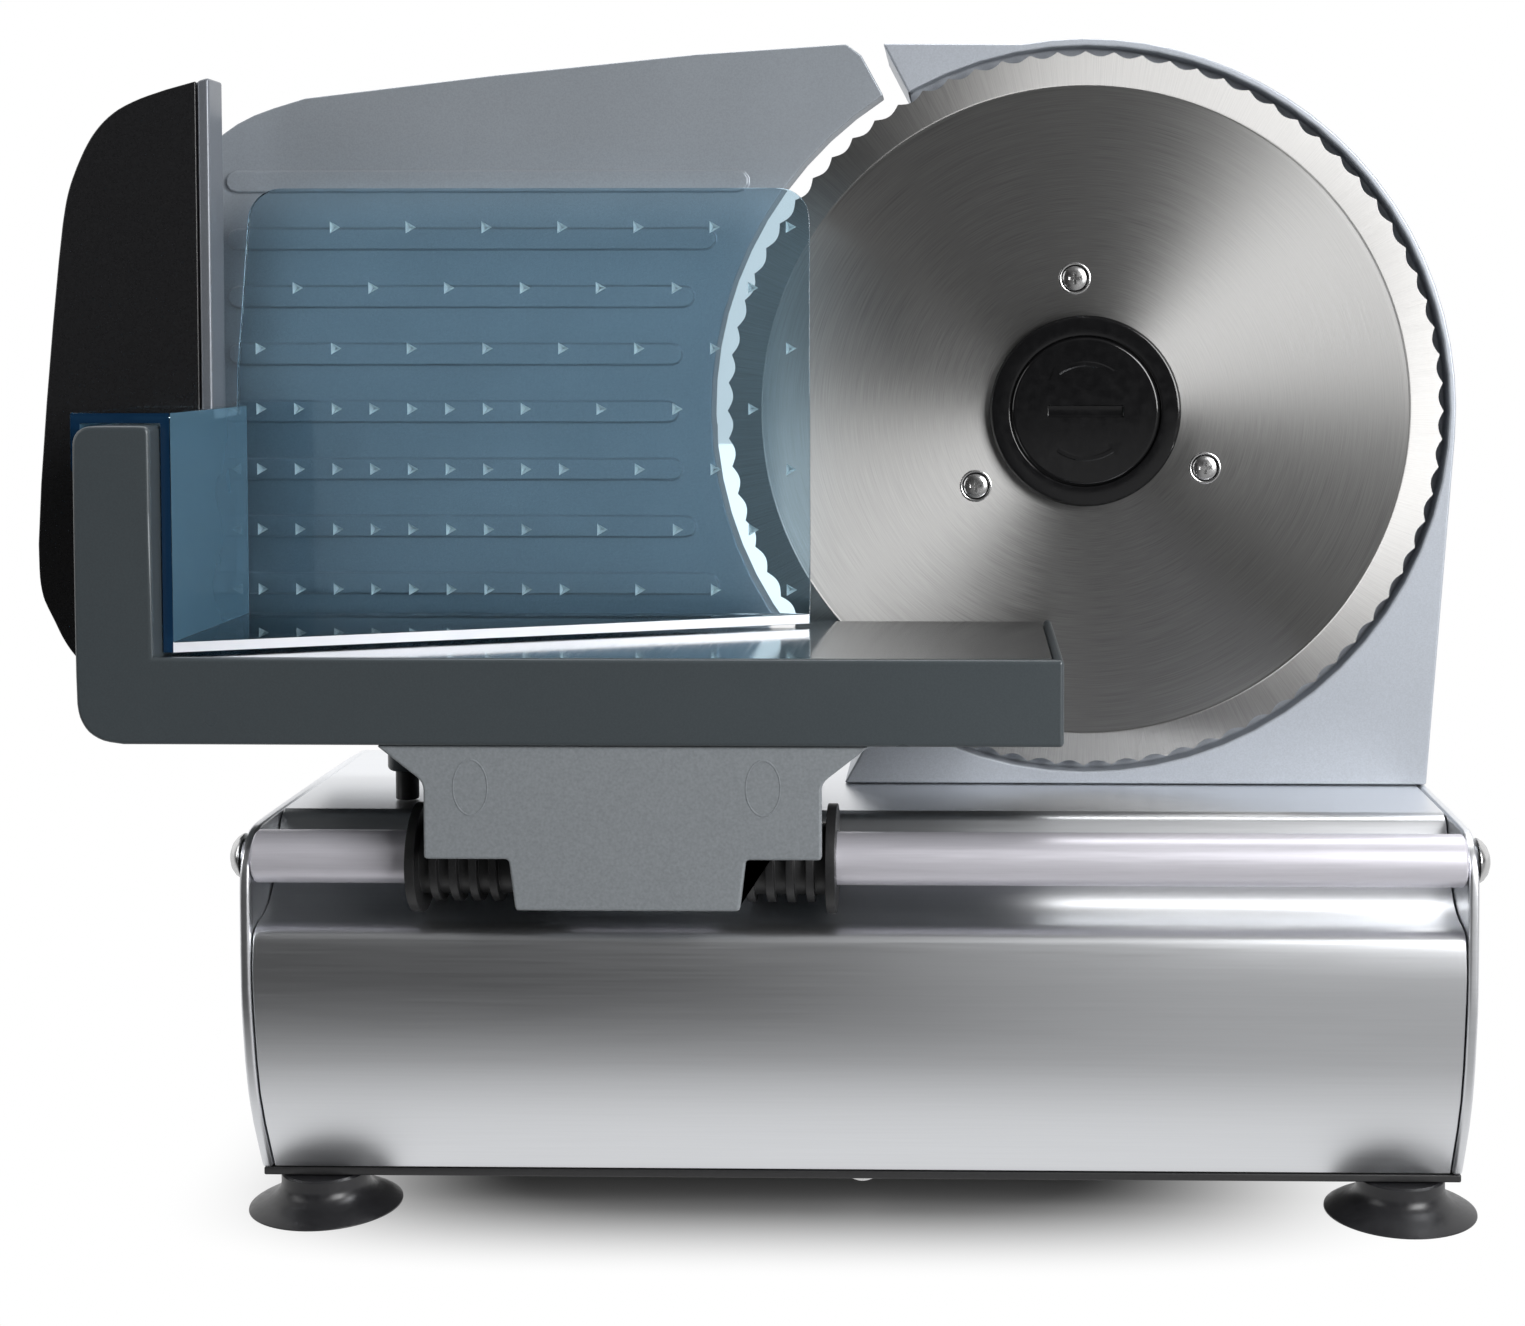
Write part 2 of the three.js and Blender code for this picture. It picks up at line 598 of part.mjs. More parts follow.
function bladeStack() {
  add("blade", blade(), BLADE_STEEL);

  const screwDepth = BLADE_T + CARRIER_T - 2 * GAP;
  bladeScrews.forEach((at, i) => {
    const screw = crossScrew(at, -GAP, BLADE_SCREW_HEAD_R, BLADE_SCREW_HEAD_H, BLADE_SCREW_R, screwDepth);
    add(`blade_screw_${i + 1}`, screw, SCREW_STEEL);
  });

  const carrier = alongY(tube(HUB_BOSS_R + GAP, CARRIER_R, CARRIER_Y0, CARRIER_Y1), 0, BLADE_AXIS_Z, 30);
  const carrierHoles = bladeScrews.map(([x, z]) =>
    alongY(rod(BLADE_SCREW_R + RUNNING, CARRIER_Y0 - OVERSHOOT, CARRIER_Y1 + OVERSHOOT), x, z, 12),
  );
  add("blade_carrier", cut(carrier, ...carrierHoles), BLACK_PLASTIC);

  const hubFront = -GAP - HUB_H;
  const lockFloor = hubFront + LOCK_T + 2 * GAP;
  const bore = LOCK_STEM_R + RUNNING;
  const hub = [
    [bore, lockFloor],
    [LOCK_R + GAP, lockFloor],
    [LOCK_R + GAP, hubFront],
    [HUB_R - HUB_CHAMFER, hubFront],
    [HUB_R, hubFront + HUB_CHAMFER],
    [HUB_R, -GAP],
    [HUB_BOSS_R, -GAP],
    [HUB_BOSS_R, CARRIER_Y1],
    [bore, CARRIER_Y1],
    [bore, lockFloor],
  ];
  add("blade_hub", alongY(hub, 0, BLADE_AXIS_Z, 30), GLOSS_BLACK);

  const lockBack = lockFloor - GAP;
  const lock = alongY(
    [
      [0, hubFront],
      [LOCK_R, hubFront],
      [LOCK_R, lockBack],
      [LOCK_STEM_R, lockBack],
      [LOCK_STEM_R, CARRIER_Y1],
      [0, CARRIER_Y1],
    ],
    0,
    BLADE_AXIS_Z,
    30,
  );
  const [slotL, slotW] = [COIN_SLOT_L / 2, COIN_SLOT_W / 2];
  const [slotZ0, slotZ1] = [BLADE_AXIS_Z - slotW, BLADE_AXIS_Z + slotW];
  const slot = box(-slotL, slotL, hubFront - OVERSHOOT, hubFront + COIN_SLOT_DEPTH, slotZ0, slotZ1);
  add("blade_lock", cut(lock, slot), GLOSS_BLACK);

  const spindle = [
    [0, SPINDLE_Y0],
    [SPINDLE_FLANGE_R, SPINDLE_Y0],
    [SPINDLE_FLANGE_R, SPINDLE_Y0 + SPINDLE_FLANGE_T],
    [SPINDLE_R, SPINDLE_Y0 + SPINDLE_FLANGE_T],
    [SPINDLE_R, SPINDLE_Y1],
    [0, SPINDLE_Y1],
  ];
  add("blade_spindle", alongY(spindle, 0, BLADE_AXIS_Z, 20), DARK_STEEL);
  add("blade_gear", wormGear(), NYLON);
}

// Worm gear: straight-sided teeth, each turned along the width to follow the worm's thread.
function wormGear() {
  const pitch = (2 * Math.PI) / GEAR_TEETH;
  const [tip, root] = [GEAR_R + TOOTH_ADDENDUM, GEAR_R - TOOTH_DEDENDUM];
  const corners = [];
  for (let tooth = 0; tooth < GEAR_TEETH; tooth++) {
    const middle = (tooth + 0.5) * pitch;
    const flanks = [
      [root, -TOOTH_ROOT_W / 2],
      [tip, -TOOTH_TIP_W / 2],
      [tip, TOOTH_TIP_W / 2],
      [root, TOOTH_ROOT_W / 2],
    ];
    for (const [r, across] of flanks) {
      const angle = middle + across / r;
      corners.push([r * Math.cos(angle), r * Math.sin(angle)]);
    }
  }
  const shape = outline(corners);
  const hole = new THREE.Path();
  hole.absarc(0, 0, SPINDLE_R + GAP, 0, 2 * Math.PI);
  shape.holes.push(hole);
  const options = { depth: GEAR_WIDTH, bevelEnabled: false, curveSegments: 10 };
  const geometry = new THREE.ExtrudeGeometry(shape, options);
  geometry.rotateX(Math.PI / 2).translate(0, GEAR_WIDTH / 2, 0);
  const slope = -WORM_LEAD / (2 * Math.PI * WORM_PITCH_R) / GEAR_R;
  const place = geometry.getAttribute("position");
  for (let i = 0; i < place.count; i++) {
    const [x, y, z] = [place.getX(i), place.getY(i), place.getZ(i)];
    const turn = slope * y;
    place.setX(i, x * Math.cos(turn) - z * Math.sin(turn));
    place.setZ(i, x * Math.sin(turn) + z * Math.cos(turn));
  }
  return solid(geometry.translate(0, GEAR_Y, BLADE_AXIS_Z));
}

// A thread wound round the Z axis: corners [radius, height] of its section, swept up a helix.
function thread(section, turns, lead, stepsPerTurn, startAngle, startZ) {
  const steps = Math.round(turns * stepsPerTurn);
  const ring = (i) => {
    const angle = startAngle + (2 * Math.PI * i) / stepsPerTurn;
    const rise = startZ + (lead * i) / stepsPerTurn;
    return section.map(([r, h]) => [r * Math.cos(angle), r * Math.sin(angle), rise + h]);
  };
  const corners = [];
  const count = section.length;
  for (let i = 0; i < steps; i++) {
    const [a, b] = [ring(i), ring(i + 1)];
    for (let k = 0; k < count; k++) {
      const n = (k + 1) % count;
      corners.push(...a[k], ...a[n], ...b[n], ...a[k], ...b[n], ...b[k]);
    }
  }
  for (const [end, flip] of [[ring(0), true], [ring(steps), false]]) {
    for (let k = 1; k < count - 1; k++) {
      const [p, q] = flip ? [end[k + 1], end[k]] : [end[k], end[k + 1]];
      corners.push(...end[0], ...p, ...q);
    }
  }
  const geometry = new THREE.BufferGeometry();
  geometry.setAttribute("position", new THREE.Float32BufferAttribute(corners, 3));
  return geometry;
}

function wormShaft() {
  const tip = WORM_PITCH_R + TOOTH_ADDENDUM - GAP / 2;
  const foot = WORM_CORE_R - OVERSHOOT;
  const section = [
    [foot, -TOOTH_ROOT_W / 2],
    [tip, -TOOTH_TIP_W / 2],
    [tip, TOOTH_TIP_W / 2],
    [foot, TOOTH_ROOT_W / 2],
  ];
  const half = (WORM_LEAD * WORM_TURNS) / 2;
  const [low, high] = [BLADE_AXIS_Z - half - TOOTH_ROOT_W, BLADE_AXIS_Z + half + TOOTH_ROOT_W];
  const shaft = [
    [0, MOTOR_BOTTOM_Z + MOTOR_CAP_T + 2 * GAP],
    [WORM_SHAFT_R, MOTOR_BOTTOM_Z + MOTOR_CAP_T + 2 * GAP],
    [WORM_SHAFT_R, low],
    [WORM_CORE_R, low],
    [WORM_CORE_R, high],
    [WORM_SHAFT_R, high],
    [WORM_SHAFT_R, BLADE_AXIS_Z + WORM_BEARING_RISE + WORM_BEARING_L],
    [0, BLADE_AXIS_Z + WORM_BEARING_RISE + WORM_BEARING_L],
  ];
  const wormStart = Math.PI * (1 - WORM_TURNS);
  const winding = thread(section, WORM_TURNS, WORM_LEAD, 10, wormStart, BLADE_AXIS_Z - half);
  return join(alongZ(shaft, WORM_X, GEAR_Y, 14), solid(winding.translate(WORM_X, GEAR_Y, 0)));
}

function motorFan(z0) {
  const vanes = Array.from({ length: FAN_BLADES }, (_, i) => {
    const vane = new THREE.BoxGeometry(FAN_R - FAN_HUB_R + OVERSHOOT, FAN_VANE_T, FAN_H);
    vane.translate((FAN_R + FAN_HUB_R - OVERSHOOT) / 2, 0, z0 + FAN_H / 2);
    vane.rotateZ((2 * Math.PI * i) / FAN_BLADES).translate(WORM_X, GEAR_Y, 0);
    return solid(vane);
  });
  const hub = tube(WORM_SHAFT_R + GAP, FAN_HUB_R, z0, z0 + FAN_H);
  return join(alongZ(hub, WORM_X, GEAR_Y, 14), ...vanes);
}

function motor() {
  const inside = MOTOR_BOTTOM_Z + MOTOR_CAP_T;
  const shaftBore = WORM_SHAFT_R + RUNNING;
  const canInner = MOTOR_R - MOTOR_WALL;
  const can = [
    [shaftBore, MOTOR_TOP_Z - MOTOR_CAP_T],
    [canInner, MOTOR_TOP_Z - MOTOR_CAP_T],
    [canInner, inside + GAP],
    [MOTOR_R, inside + GAP],
    [MOTOR_R, MOTOR_TOP_Z],
    [shaftBore, MOTOR_TOP_Z],
    [shaftBore, MOTOR_TOP_Z - MOTOR_CAP_T],
  ];
  add("motor_can", alongZ(can, WORM_X, GEAR_Y, 20), DARK_STEEL);

  const cap = [
    [0, MOTOR_BOTTOM_Z],
    [MOTOR_R, MOTOR_BOTTOM_Z],
    [MOTOR_R, inside],
    [MOTOR_BOSS_R, inside],
    [MOTOR_BOSS_R, inside + MOTOR_BOSS_L],
    [shaftBore, inside + MOTOR_BOSS_L],
    [shaftBore, inside + GAP],
    [0, inside + GAP],
  ];
  add("motor_cap", alongZ(cap, WORM_X, GEAR_Y, 20), BLACK_PLASTIC);

  const commutatorZ = inside + MOTOR_BOSS_L + COMMUTATOR_GAP;
  const armatureZ = commutatorZ + COMMUTATOR_L + GAP;
  const stator = tube(canInner - GAP - STATOR_WALL, canInner - GAP, armatureZ, armatureZ + ARMATURE_L);
  add("motor_stator", alongZ(stator, WORM_X, GEAR_Y, 20), DARK_STEEL);

  const onShaft = (outer, from, length) =>
    alongZ(tube(WORM_SHAFT_R + GAP, outer, from, from + length), WORM_X, GEAR_Y, 16);
  add("worm_shaft", wormShaft(), BRIGHT_STEEL);
  add("motor_commutator", onShaft(COMMUTATOR_R, commutatorZ, COMMUTATOR_L), COPPER);
  add("motor_armature", onShaft(ARMATURE_R, armatureZ, ARMATURE_L), COPPER);
  add("motor_fan", motorFan(armatureZ + ARMATURE_L + OVERSHOOT), BLACK_PLASTIC);

  const [halfX, halfY] = BRACKET_HALF;
  const [x0, x1] = [WORM_X - halfX - BRACKET_POST_R, WORM_X + halfX + BRACKET_POST_R];
  const [y0, y1] = [GEAR_Y - halfY - BRACKET_POST_R, GEAR_Y + halfY + BRACKET_POST_R];
  const plateZ = MOTOR_TOP_Z + GAP;
  const plate = box(x0, x1, y0, y1, plateZ, plateZ + BRACKET_T);
  const posts = [];
  for (const x of [WORM_X - halfX, WORM_X + halfX]) {
    for (const y of [GEAR_Y - halfY, GEAR_Y + halfY]) {
      posts.push(alongZ(rod(BRACKET_POST_R, plateZ, BRACKET_TOP_Z), x, y, 12));
    }
  }
  const opening = rod(MOTOR_BOSS_R, plateZ - OVERSHOOT, plateZ + BRACKET_T + OVERSHOOT);
  add("motor_bracket", cut(join(plate, ...posts), alongZ(opening, WORM_X, GEAR_Y, 20)), DARK_STEEL);
}

// Outline of the blade housing: a round right side, a slanted top left corner, and on the cutting side
// an edge that stays behind the blade.
function housingOutline(inset) {
  const slantX = HOUSING_CORNER_X + GUIDE_SLOT;
  const slantZ = Math.sqrt(RECESS_R ** 2 - slantX ** 2);
  const hiddenFrom = THREE.MathUtils.radToDeg(Math.atan2(slantZ, slantX)) + HIDDEN_START;
  const points = [
    [HOUSING_LEFT_FOOT, BASE_TOP_Z + GAP],
    [HOUSING_RIGHT_FOOT, BASE_TOP_Z + GAP],
    ...arc(0, BLADE_AXIS_Z, HOUSING_R, -4, 100, 22),
    [HOUSING_CORNER_X, HOUSING_TOP_Z],
    [slantX, BLADE_AXIS_Z + slantZ],
    ...arc(0, BLADE_AXIS_Z, HOUSING_HIDDEN_R, hiddenFrom, 236, 14),
  ];
  return outline(offset(points, inset, true));
}

const coverScrews = COVER_SCREW_X.map((x, i) => [
  x,
  i < 2 ? BASE_TOP_Z + COVER_SCREW_RISE : BLADE_AXIS_Z + HOUSING_R - COVER_SCREW_DROP,
]);

function housing() {
  const bushR = SPINDLE_R + RUNNING + BUSH_WALL;
  const shell = cut(
    frontPlate(housingOutline(0), HOUSING_Y0, HOUSING_DEPTH),
    frontPlate(housingOutline(HOUSING_WALL), FRONT_WALL_Y, HOUSING_DEPTH + OVERSHOOT),
    alongY(rod(RECESS_R, -OVERSHOOT, RECESS_Y), 0, BLADE_AXIS_Z, 64),
  );
  const bosses = coverScrews.map(([x, z]) =>
    alongY(rod(COVER_SCREW_BOSS_R, FRONT_WALL_Y - OVERSHOOT, HOUSING_DEPTH), x, z, 14),
  );
  const screwHoles = coverScrews.map(([x, z]) =>
    alongY(rod(COVER_SCREW_R + RUNNING, HOUSING_DEPTH - COVER_SCREW_L, HOUSING_DEPTH + OVERSHOOT), x, z, 12),
  );
  const lugZ = BLADE_AXIS_Z + WORM_BEARING_RISE;
  const lugY = [FRONT_WALL_Y - OVERSHOOT, GEAR_Y + LUG_W / 2];
  const lug = box(WORM_X - LUG_W / 2, WORM_X + LUG_W / 2, ...lugY, lugZ, lugZ + WORM_BEARING_L);
  const bearingHole = rod(WORM_BEARING_R + GAP, lugZ - OVERSHOOT, lugZ + WORM_BEARING_L + OVERSHOOT);
  const floor = BASE_TOP_Z + GAP;
  const made = cut(
    join(shell, ...bosses, lug),
    ...screwHoles,
    alongZ(bearingHole, WORM_X, GEAR_Y, 20),
    alongZ(rod(WORM_PITCH_R, floor - OVERSHOOT, floor + HOUSING_WALL + OVERSHOOT), WORM_X, GEAR_Y, 20),
    alongY(rod(bushR + GAP, RECESS_Y - OVERSHOOT, FRONT_WALL_Y + OVERSHOOT), 0, BLADE_AXIS_Z, 20),
  );
  add("blade_housing", made, SILVER_PAINT);

  const bush = tube(SPINDLE_R + RUNNING, bushR, RECESS_Y + GAP, RECESS_Y + GAP + BUSH_L);
  add("spindle_bush", alongY(bush, 0, BLADE_AXIS_Z, 20), BRONZE);
  const bearing = tube(WORM_SHAFT_R + RUNNING, WORM_BEARING_R, lugZ, lugZ + WORM_BEARING_L);
  add("worm_bearing", alongZ(bearing, WORM_X, GEAR_Y, 20), BRONZE);

  const boss = tube(SPINDLE_R + RUNNING, COVER_BOSS_R, COVER_Y0 - COVER_BOSS_L, COVER_Y0 + OVERSHOOT);
  const cover = join(
    frontPlate(housingOutline(0), COVER_Y0, COVER_Y0 + COVER_T),
    alongY(boss, 0, BLADE_AXIS_Z, 20),
  );
  const coverHoles = coverScrews.map(([x, z]) =>
    alongY(rod(COVER_SCREW_R + RUNNING, COVER_Y0 - OVERSHOOT, COVER_Y0 + COVER_T + OVERSHOOT), x, z, 12),
  );
  add("gear_cover", cut(cover, ...coverHoles), SILVER_PAINT);
  const face = COVER_Y0 + COVER_T + GAP;
  coverScrews.forEach((at, i) => {
    const length = COVER_SCREW_L + COVER_T - GAP;
    const screw = crossScrew(at, face, COVER_SCREW_HEAD_R, COVER_SCREW_HEAD_H, COVER_SCREW_R, -length);
    add(`gear_cover_screw_${i + 1}`, screw, SCREW_STEEL);
  });
}

// The cover's outer line in Y and Z: an inward flange at the front foot, the bulged front, a cradle under
// the rail, the flat top, a large round at the back and a flange at the back foot.
const BASE_FLANGE = 12;
const CRADLE_FROM = 272;
const CRADLE_TO = 350;
const TOP_SETBACK = 22.5; // behind the rail
const TOP_FRONT_Y = RAIL_Y + TOP_SETBACK;
const TOP_EDGE = [3, 2];
const END_PLATE_ROUND = 14;

function bulge(proud) {
  const [crestY, crestZ] = arc(RAIL_Y, RAIL_Z, RAIL_CRADLE_R, CRADLE_FROM, CRADLE_FROM, 1)[0];
  const line = new THREE.SplineCurve([
    new THREE.Vector2(BOTTOM_FRONT_Y - proud, COVER_BOTTOM_Z),
    new THREE.Vector2(BULGE_FRONT_Y - proud + BULGE_LOW[0], COVER_BOTTOM_Z + BULGE_LOW[1]),
    new THREE.Vector2(BULGE_FRONT_Y - proud, crestZ - BULGE_MIDDLE_DROP),
    new THREE.Vector2(BULGE_FRONT_Y - proud + BULGE_HIGH[0], crestZ - BULGE_HIGH[1]),
    new THREE.Vector2(crestY - BULGE_CREST[0], crestZ - BULGE_CREST[1]),
    new THREE.Vector2(crestY, crestZ),
  ]);
  return line.getPoints(15).map(({ x, y }) => [x, y]);
}

function coverLine() {
  const roundY = BASE_REAR_Y - BASE_REAR_ROUND;
  const roundZ = BASE_TOP_Z - BASE_REAR_ROUND;
  return [
    [BOTTOM_FRONT_Y + BASE_FLANGE, COVER_BOTTOM_Z],
    ...bulge(0),
    ...arc(RAIL_Y, RAIL_Z, RAIL_CRADLE_R, CRADLE_FROM, CRADLE_TO, 10).slice(1),
    [TOP_FRONT_Y - TOP_EDGE[0], BASE_TOP_Z - TOP_EDGE[1]],
    [TOP_FRONT_Y, BASE_TOP_Z],
    ...arc(roundY, roundZ, BASE_REAR_ROUND, 90, 0, 8),
    [BASE_REAR_Y, COVER_BOTTOM_Z],
    [BASE_REAR_Y - BASE_FLANGE, COVER_BOTTOM_Z],
  ];
}

const carrierY1 = CARRIER_BLOCK_Y[1];
const [switchX, switchZ] = SWITCH_AT;
const [switchHalfX, switchHalfZ] = SWITCH_HALF;

function base() {
  const line = coverLine();
  const sheet = outline([...line, ...offset(line, -SHEET_T, false).reverse()]);
  const [left, right] = [BASE_LEFT + GAP, BASE_RIGHT - GAP];
  const slotHalf = CARRIER_STEM_HALF + OVERSHOOT;
  const slotY = [CARRIER_BLOCK_Y[0] - OVERSHOOT, carrierY1 + GUIDE_TRAVEL + OVERSHOOT];
  const rearHole = (r, x, z) =>
    alongY(rod(r, REAR_INSIDE_Y - OVERSHOOT, BASE_REAR_Y + OVERSHOOT), x, z, 20);
  const [screwX, screwY] = BOTTOM_SCREW_AT;
  const through = [FOOT_H - OVERSHOOT, COVER_BOTTOM_Z + SHEET_T + OVERSHOOT];
  const screwHole = alongZ(rod(BOTTOM_SCREW_R + RUNNING, ...through), screwX, screwY, 12);
  const feet = [];
  for (const y of [FOOT_FRONT_Y, FOOT_REAR_Y]) {
    for (const x of [BASE_LEFT + FOOT_INSET, BASE_RIGHT - FOOT_INSET]) feet.push([x, y]);
  }
  const studHoles = feet.map(([x, y]) => alongZ(rod(FOOT_STUD_R + RUNNING, ...through), x, y, 14));
  const cover = cut(
    sidePlate(sheet, left, right),
    alongZ(rod(WORM_PITCH_R, TOP_INSIDE_Z - OVERSHOOT, BASE_TOP_Z + OVERSHOOT), WORM_X, GEAR_Y, 20),
    box(CARRIER_X - slotHalf, CARRIER_X + slotHalf, ...slotY, CARRIER_BLOCK_Z[1], BASE_TOP_Z + OVERSHOOT),
    rearHole(CAM_SHAFT_R + OVERSHOOT, CARRIER_X, CAM_Z),
    rearHole(GLAND_R + GAP, ...GLAND_AT),
    box(
      switchX - switchHalfX - GAP,
      switchX + switchHalfX + GAP,
      REAR_INSIDE_Y - OVERSHOOT,
      BASE_REAR_Y + OVERSHOOT,
      switchZ - switchHalfZ - GAP,
      switchZ + switchHalfZ + GAP,
    ),
    screwHole,
    ...studHoles,
  );
  add("base_cover", cover, SATIN_SHEET);

  const front = bulge(END_PLATE_LIP).slice(0, 7);
  const side = outline([
    ...front,
    [BULGE_FRONT_Y - END_PLATE_LIP, BASE_TOP_Z, END_PLATE_ROUND],
    [BASE_REAR_Y + END_PLATE_LIP, BASE_TOP_Z, BASE_REAR_ROUND],
    [BASE_REAR_Y + END_PLATE_LIP, COVER_BOTTOM_Z],
  ]);
  const screwBore = (x) =>
    alongX(rod(RAIL_SCREW_R + RUNNING, x - OVERSHOOT, x + END_PLATE_T + OVERSHOOT), RAIL_Y, RAIL_Z, 16);
  const leftX = BASE_LEFT - END_PLATE_T;
  add("left_end_plate", cut(sidePlate(side, leftX, BASE_LEFT), screwBore(leftX)), SATIN_SHEET);
  add(
    "right_end_plate",
    cut(sidePlate(side, BASE_RIGHT, BASE_RIGHT + END_PLATE_T), screwBore(BASE_RIGHT)),
    SATIN_SHEET,
  );

  const plateX = [leftX, BASE_RIGHT + END_PLATE_T];
  const plate = box(...plateX, BOTTOM_FRONT_Y, BASE_REAR_Y, FOOT_H, BOTTOM_TOP_Z);
  add("bottom_plate", cut(plate, ...studHoles, screwHole), BLACK_PLASTIC);

  const shoulder = FOOT_H - GAP;
  const foot = [
    [0, FOOT_CUP],
    [FOOT_SKIRT_R * 0.5, FOOT_CUP * 0.8],
    [FOOT_SKIRT_R - FOOT_RIM_W, 0],
    [FOOT_SKIRT_R, 0],
    [FOOT_SKIRT_R, FOOT_RIM_T],
    [FOOT_NECK_R + FOOT_FLARE[0], FOOT_FLARE[1]],
    [FOOT_NECK_R, FOOT_NECK_Z],
    [FOOT_NECK_R, shoulder],
    [FOOT_STUD_R, shoulder],
    [FOOT_STUD_R, shoulder + FOOT_STUD_L],
    [0, shoulder + FOOT_STUD_L],
  ];
  const names = ["front_left", "front_right", "rear_left", "rear_right"];
  feet.forEach(([x, y], i) => add(`suction_foot_${names[i]}`, alongZ(foot, x, y, 16), BLACK_RUBBER));

  const [headR, headH] = [BOTTOM_SCREW_HEAD_R, BOTTOM_SCREW_HEAD_H];
  const screw = domeScrew(shoulder, headR, headH, BOTTOM_SCREW_R, BOTTOM_SCREW_L);
  add("bottom_screw", alongZ(screw, screwX, screwY, 14), SCREW_STEEL);
}

// Profile of a dome-headed screw: the head ends at a face, and the shank runs on by a signed length.
function domeScrew(face, headR, headH, shankR, length) {
  const way = Math.sign(length);
  return [
    [0, face - way * headH],
    [headR * 0.55, face - way * headH * 0.85],
    [headR * 0.9, face - way * headH * 0.45],
    [headR, face],
    [shankR, face],
    [shankR, face + length],
    [0, face + length],
  ];
}

function rail() {
  const [x0, x1] = [BASE_LEFT + GAP, BASE_RIGHT - GAP];
  const bore = RAIL_SCREW_R + RUNNING;
  const profile = [
    [0, x0 + RAIL_SCREW_L],
    [bore, x0 + RAIL_SCREW_L],
    [bore, x0],
    [RAIL_R, x0],
    [RAIL_R, x1],
    [bore, x1],
    [bore, x1 - RAIL_SCREW_L],
    [0, x1 - RAIL_SCREW_L],
  ];
  add("guide_rail", alongX(profile, RAIL_Y, RAIL_Z, 18), BRIGHT_STEEL);
  const outside = END_PLATE_T + GAP;
  for (const [name, face, way] of [
    ["rail_screw_left", BASE_LEFT - outside, 1],
    ["rail_screw_right", BASE_RIGHT + outside, -1],
  ]) {
    const screw = domeScrew(face, RAIL_SCREW_HEAD_R, RAIL_SCREW_HEAD_H, RAIL_SCREW_R, way * RAIL_SCREW_L);
    add(name, alongX(screw, RAIL_Y, RAIL_Z, 12), SCREW_STEEL);
  }
}

// Levels of the carriage
const LIP_RISE = 0.4;
const RIM_T = 2.2;
const TRAY_SEAT_Z = TRAY_TOP_Z - TRAY_PLATE_T - GAP;
const TRAY_UNDERSIDE_Z = TRAY_SEAT_Z - CARRIAGE_SKIN;
const LIP_TOP_Z = TRAY_TOP_Z + LIP_RISE;
const WALL_RIGHT = CARRIAGE_LEFT + WALL_T;
const GLIDE_POST_Z = BASE_TOP_Z + GLIDE_TIP;
const GLIDE_SOCKET = 10;

function carriageFrame() {
  const corner = [CARRIAGE_LEFT, CARRIAGE_BOTTOM_Z, CARRIAGE_CORNER_R];
  const tray = outline([
    corner,
    [CARRIAGE_RIGHT, CARRIAGE_BOTTOM_Z],
    [CARRIAGE_RIGHT, LIP_TOP_Z],
    [CARRIAGE_LEFT, LIP_TOP_Z],
  ]);
  const wall = outline([
    corner,
    [WALL_RIGHT, CARRIAGE_BOTTOM_Z],
    [WALL_RIGHT, WALL_TOP_Z, WALL_TOP_ROUND[0]],
    [CARRIAGE_LEFT, WALL_TOP_Z, WALL_TOP_ROUND[1]],
  ]);
  const inside = [CARRIAGE_FRONT_Y + LIP_T, CARRIAGE_BACK_Y - CARRIAGE_SKIN];
  const pocketX = [CARRIAGE_LEFT + CARRIAGE_CORNER_R, CARRIAGE_RIGHT - CARRIAGE_SKIN];
  const posts = GLIDE_AT.map((x) =>
    alongZ(rod(GLIDE_POST_R, GLIDE_POST_Z, TRAY_SEAT_Z - OVERSHOOT), x, GLIDE_Y, 16),
  );
  const sockets = GLIDE_AT.map((x) =>
    alongZ(rod(GLIDE_R + GAP, GLIDE_POST_Z - OVERSHOOT, GLIDE_POST_Z + GLIDE_SOCKET), x, GLIDE_Y, 16),
  );
  const seatY = [CARRIAGE_FRONT_Y + LIP_T, CARRIAGE_BACK_Y + OVERSHOOT];
  const hollow = cut(
    join(
      frontPlate(tray, CARRIAGE_FRONT_Y, CARRIAGE_BACK_Y),
      frontPlate(wall, CARRIAGE_FRONT_Y, WALL_BACK_Y),
    ),
    box(WALL_RIGHT, CARRIAGE_RIGHT - RIM_T, ...seatY, TRAY_SEAT_Z, LIP_TOP_Z + OVERSHOOT),
    box(...pocketX, ...inside, CARRIAGE_BOTTOM_Z - OVERSHOOT, TRAY_UNDERSIDE_Z),
  );
  return cut(join(hollow, ...posts), ...sockets);
}

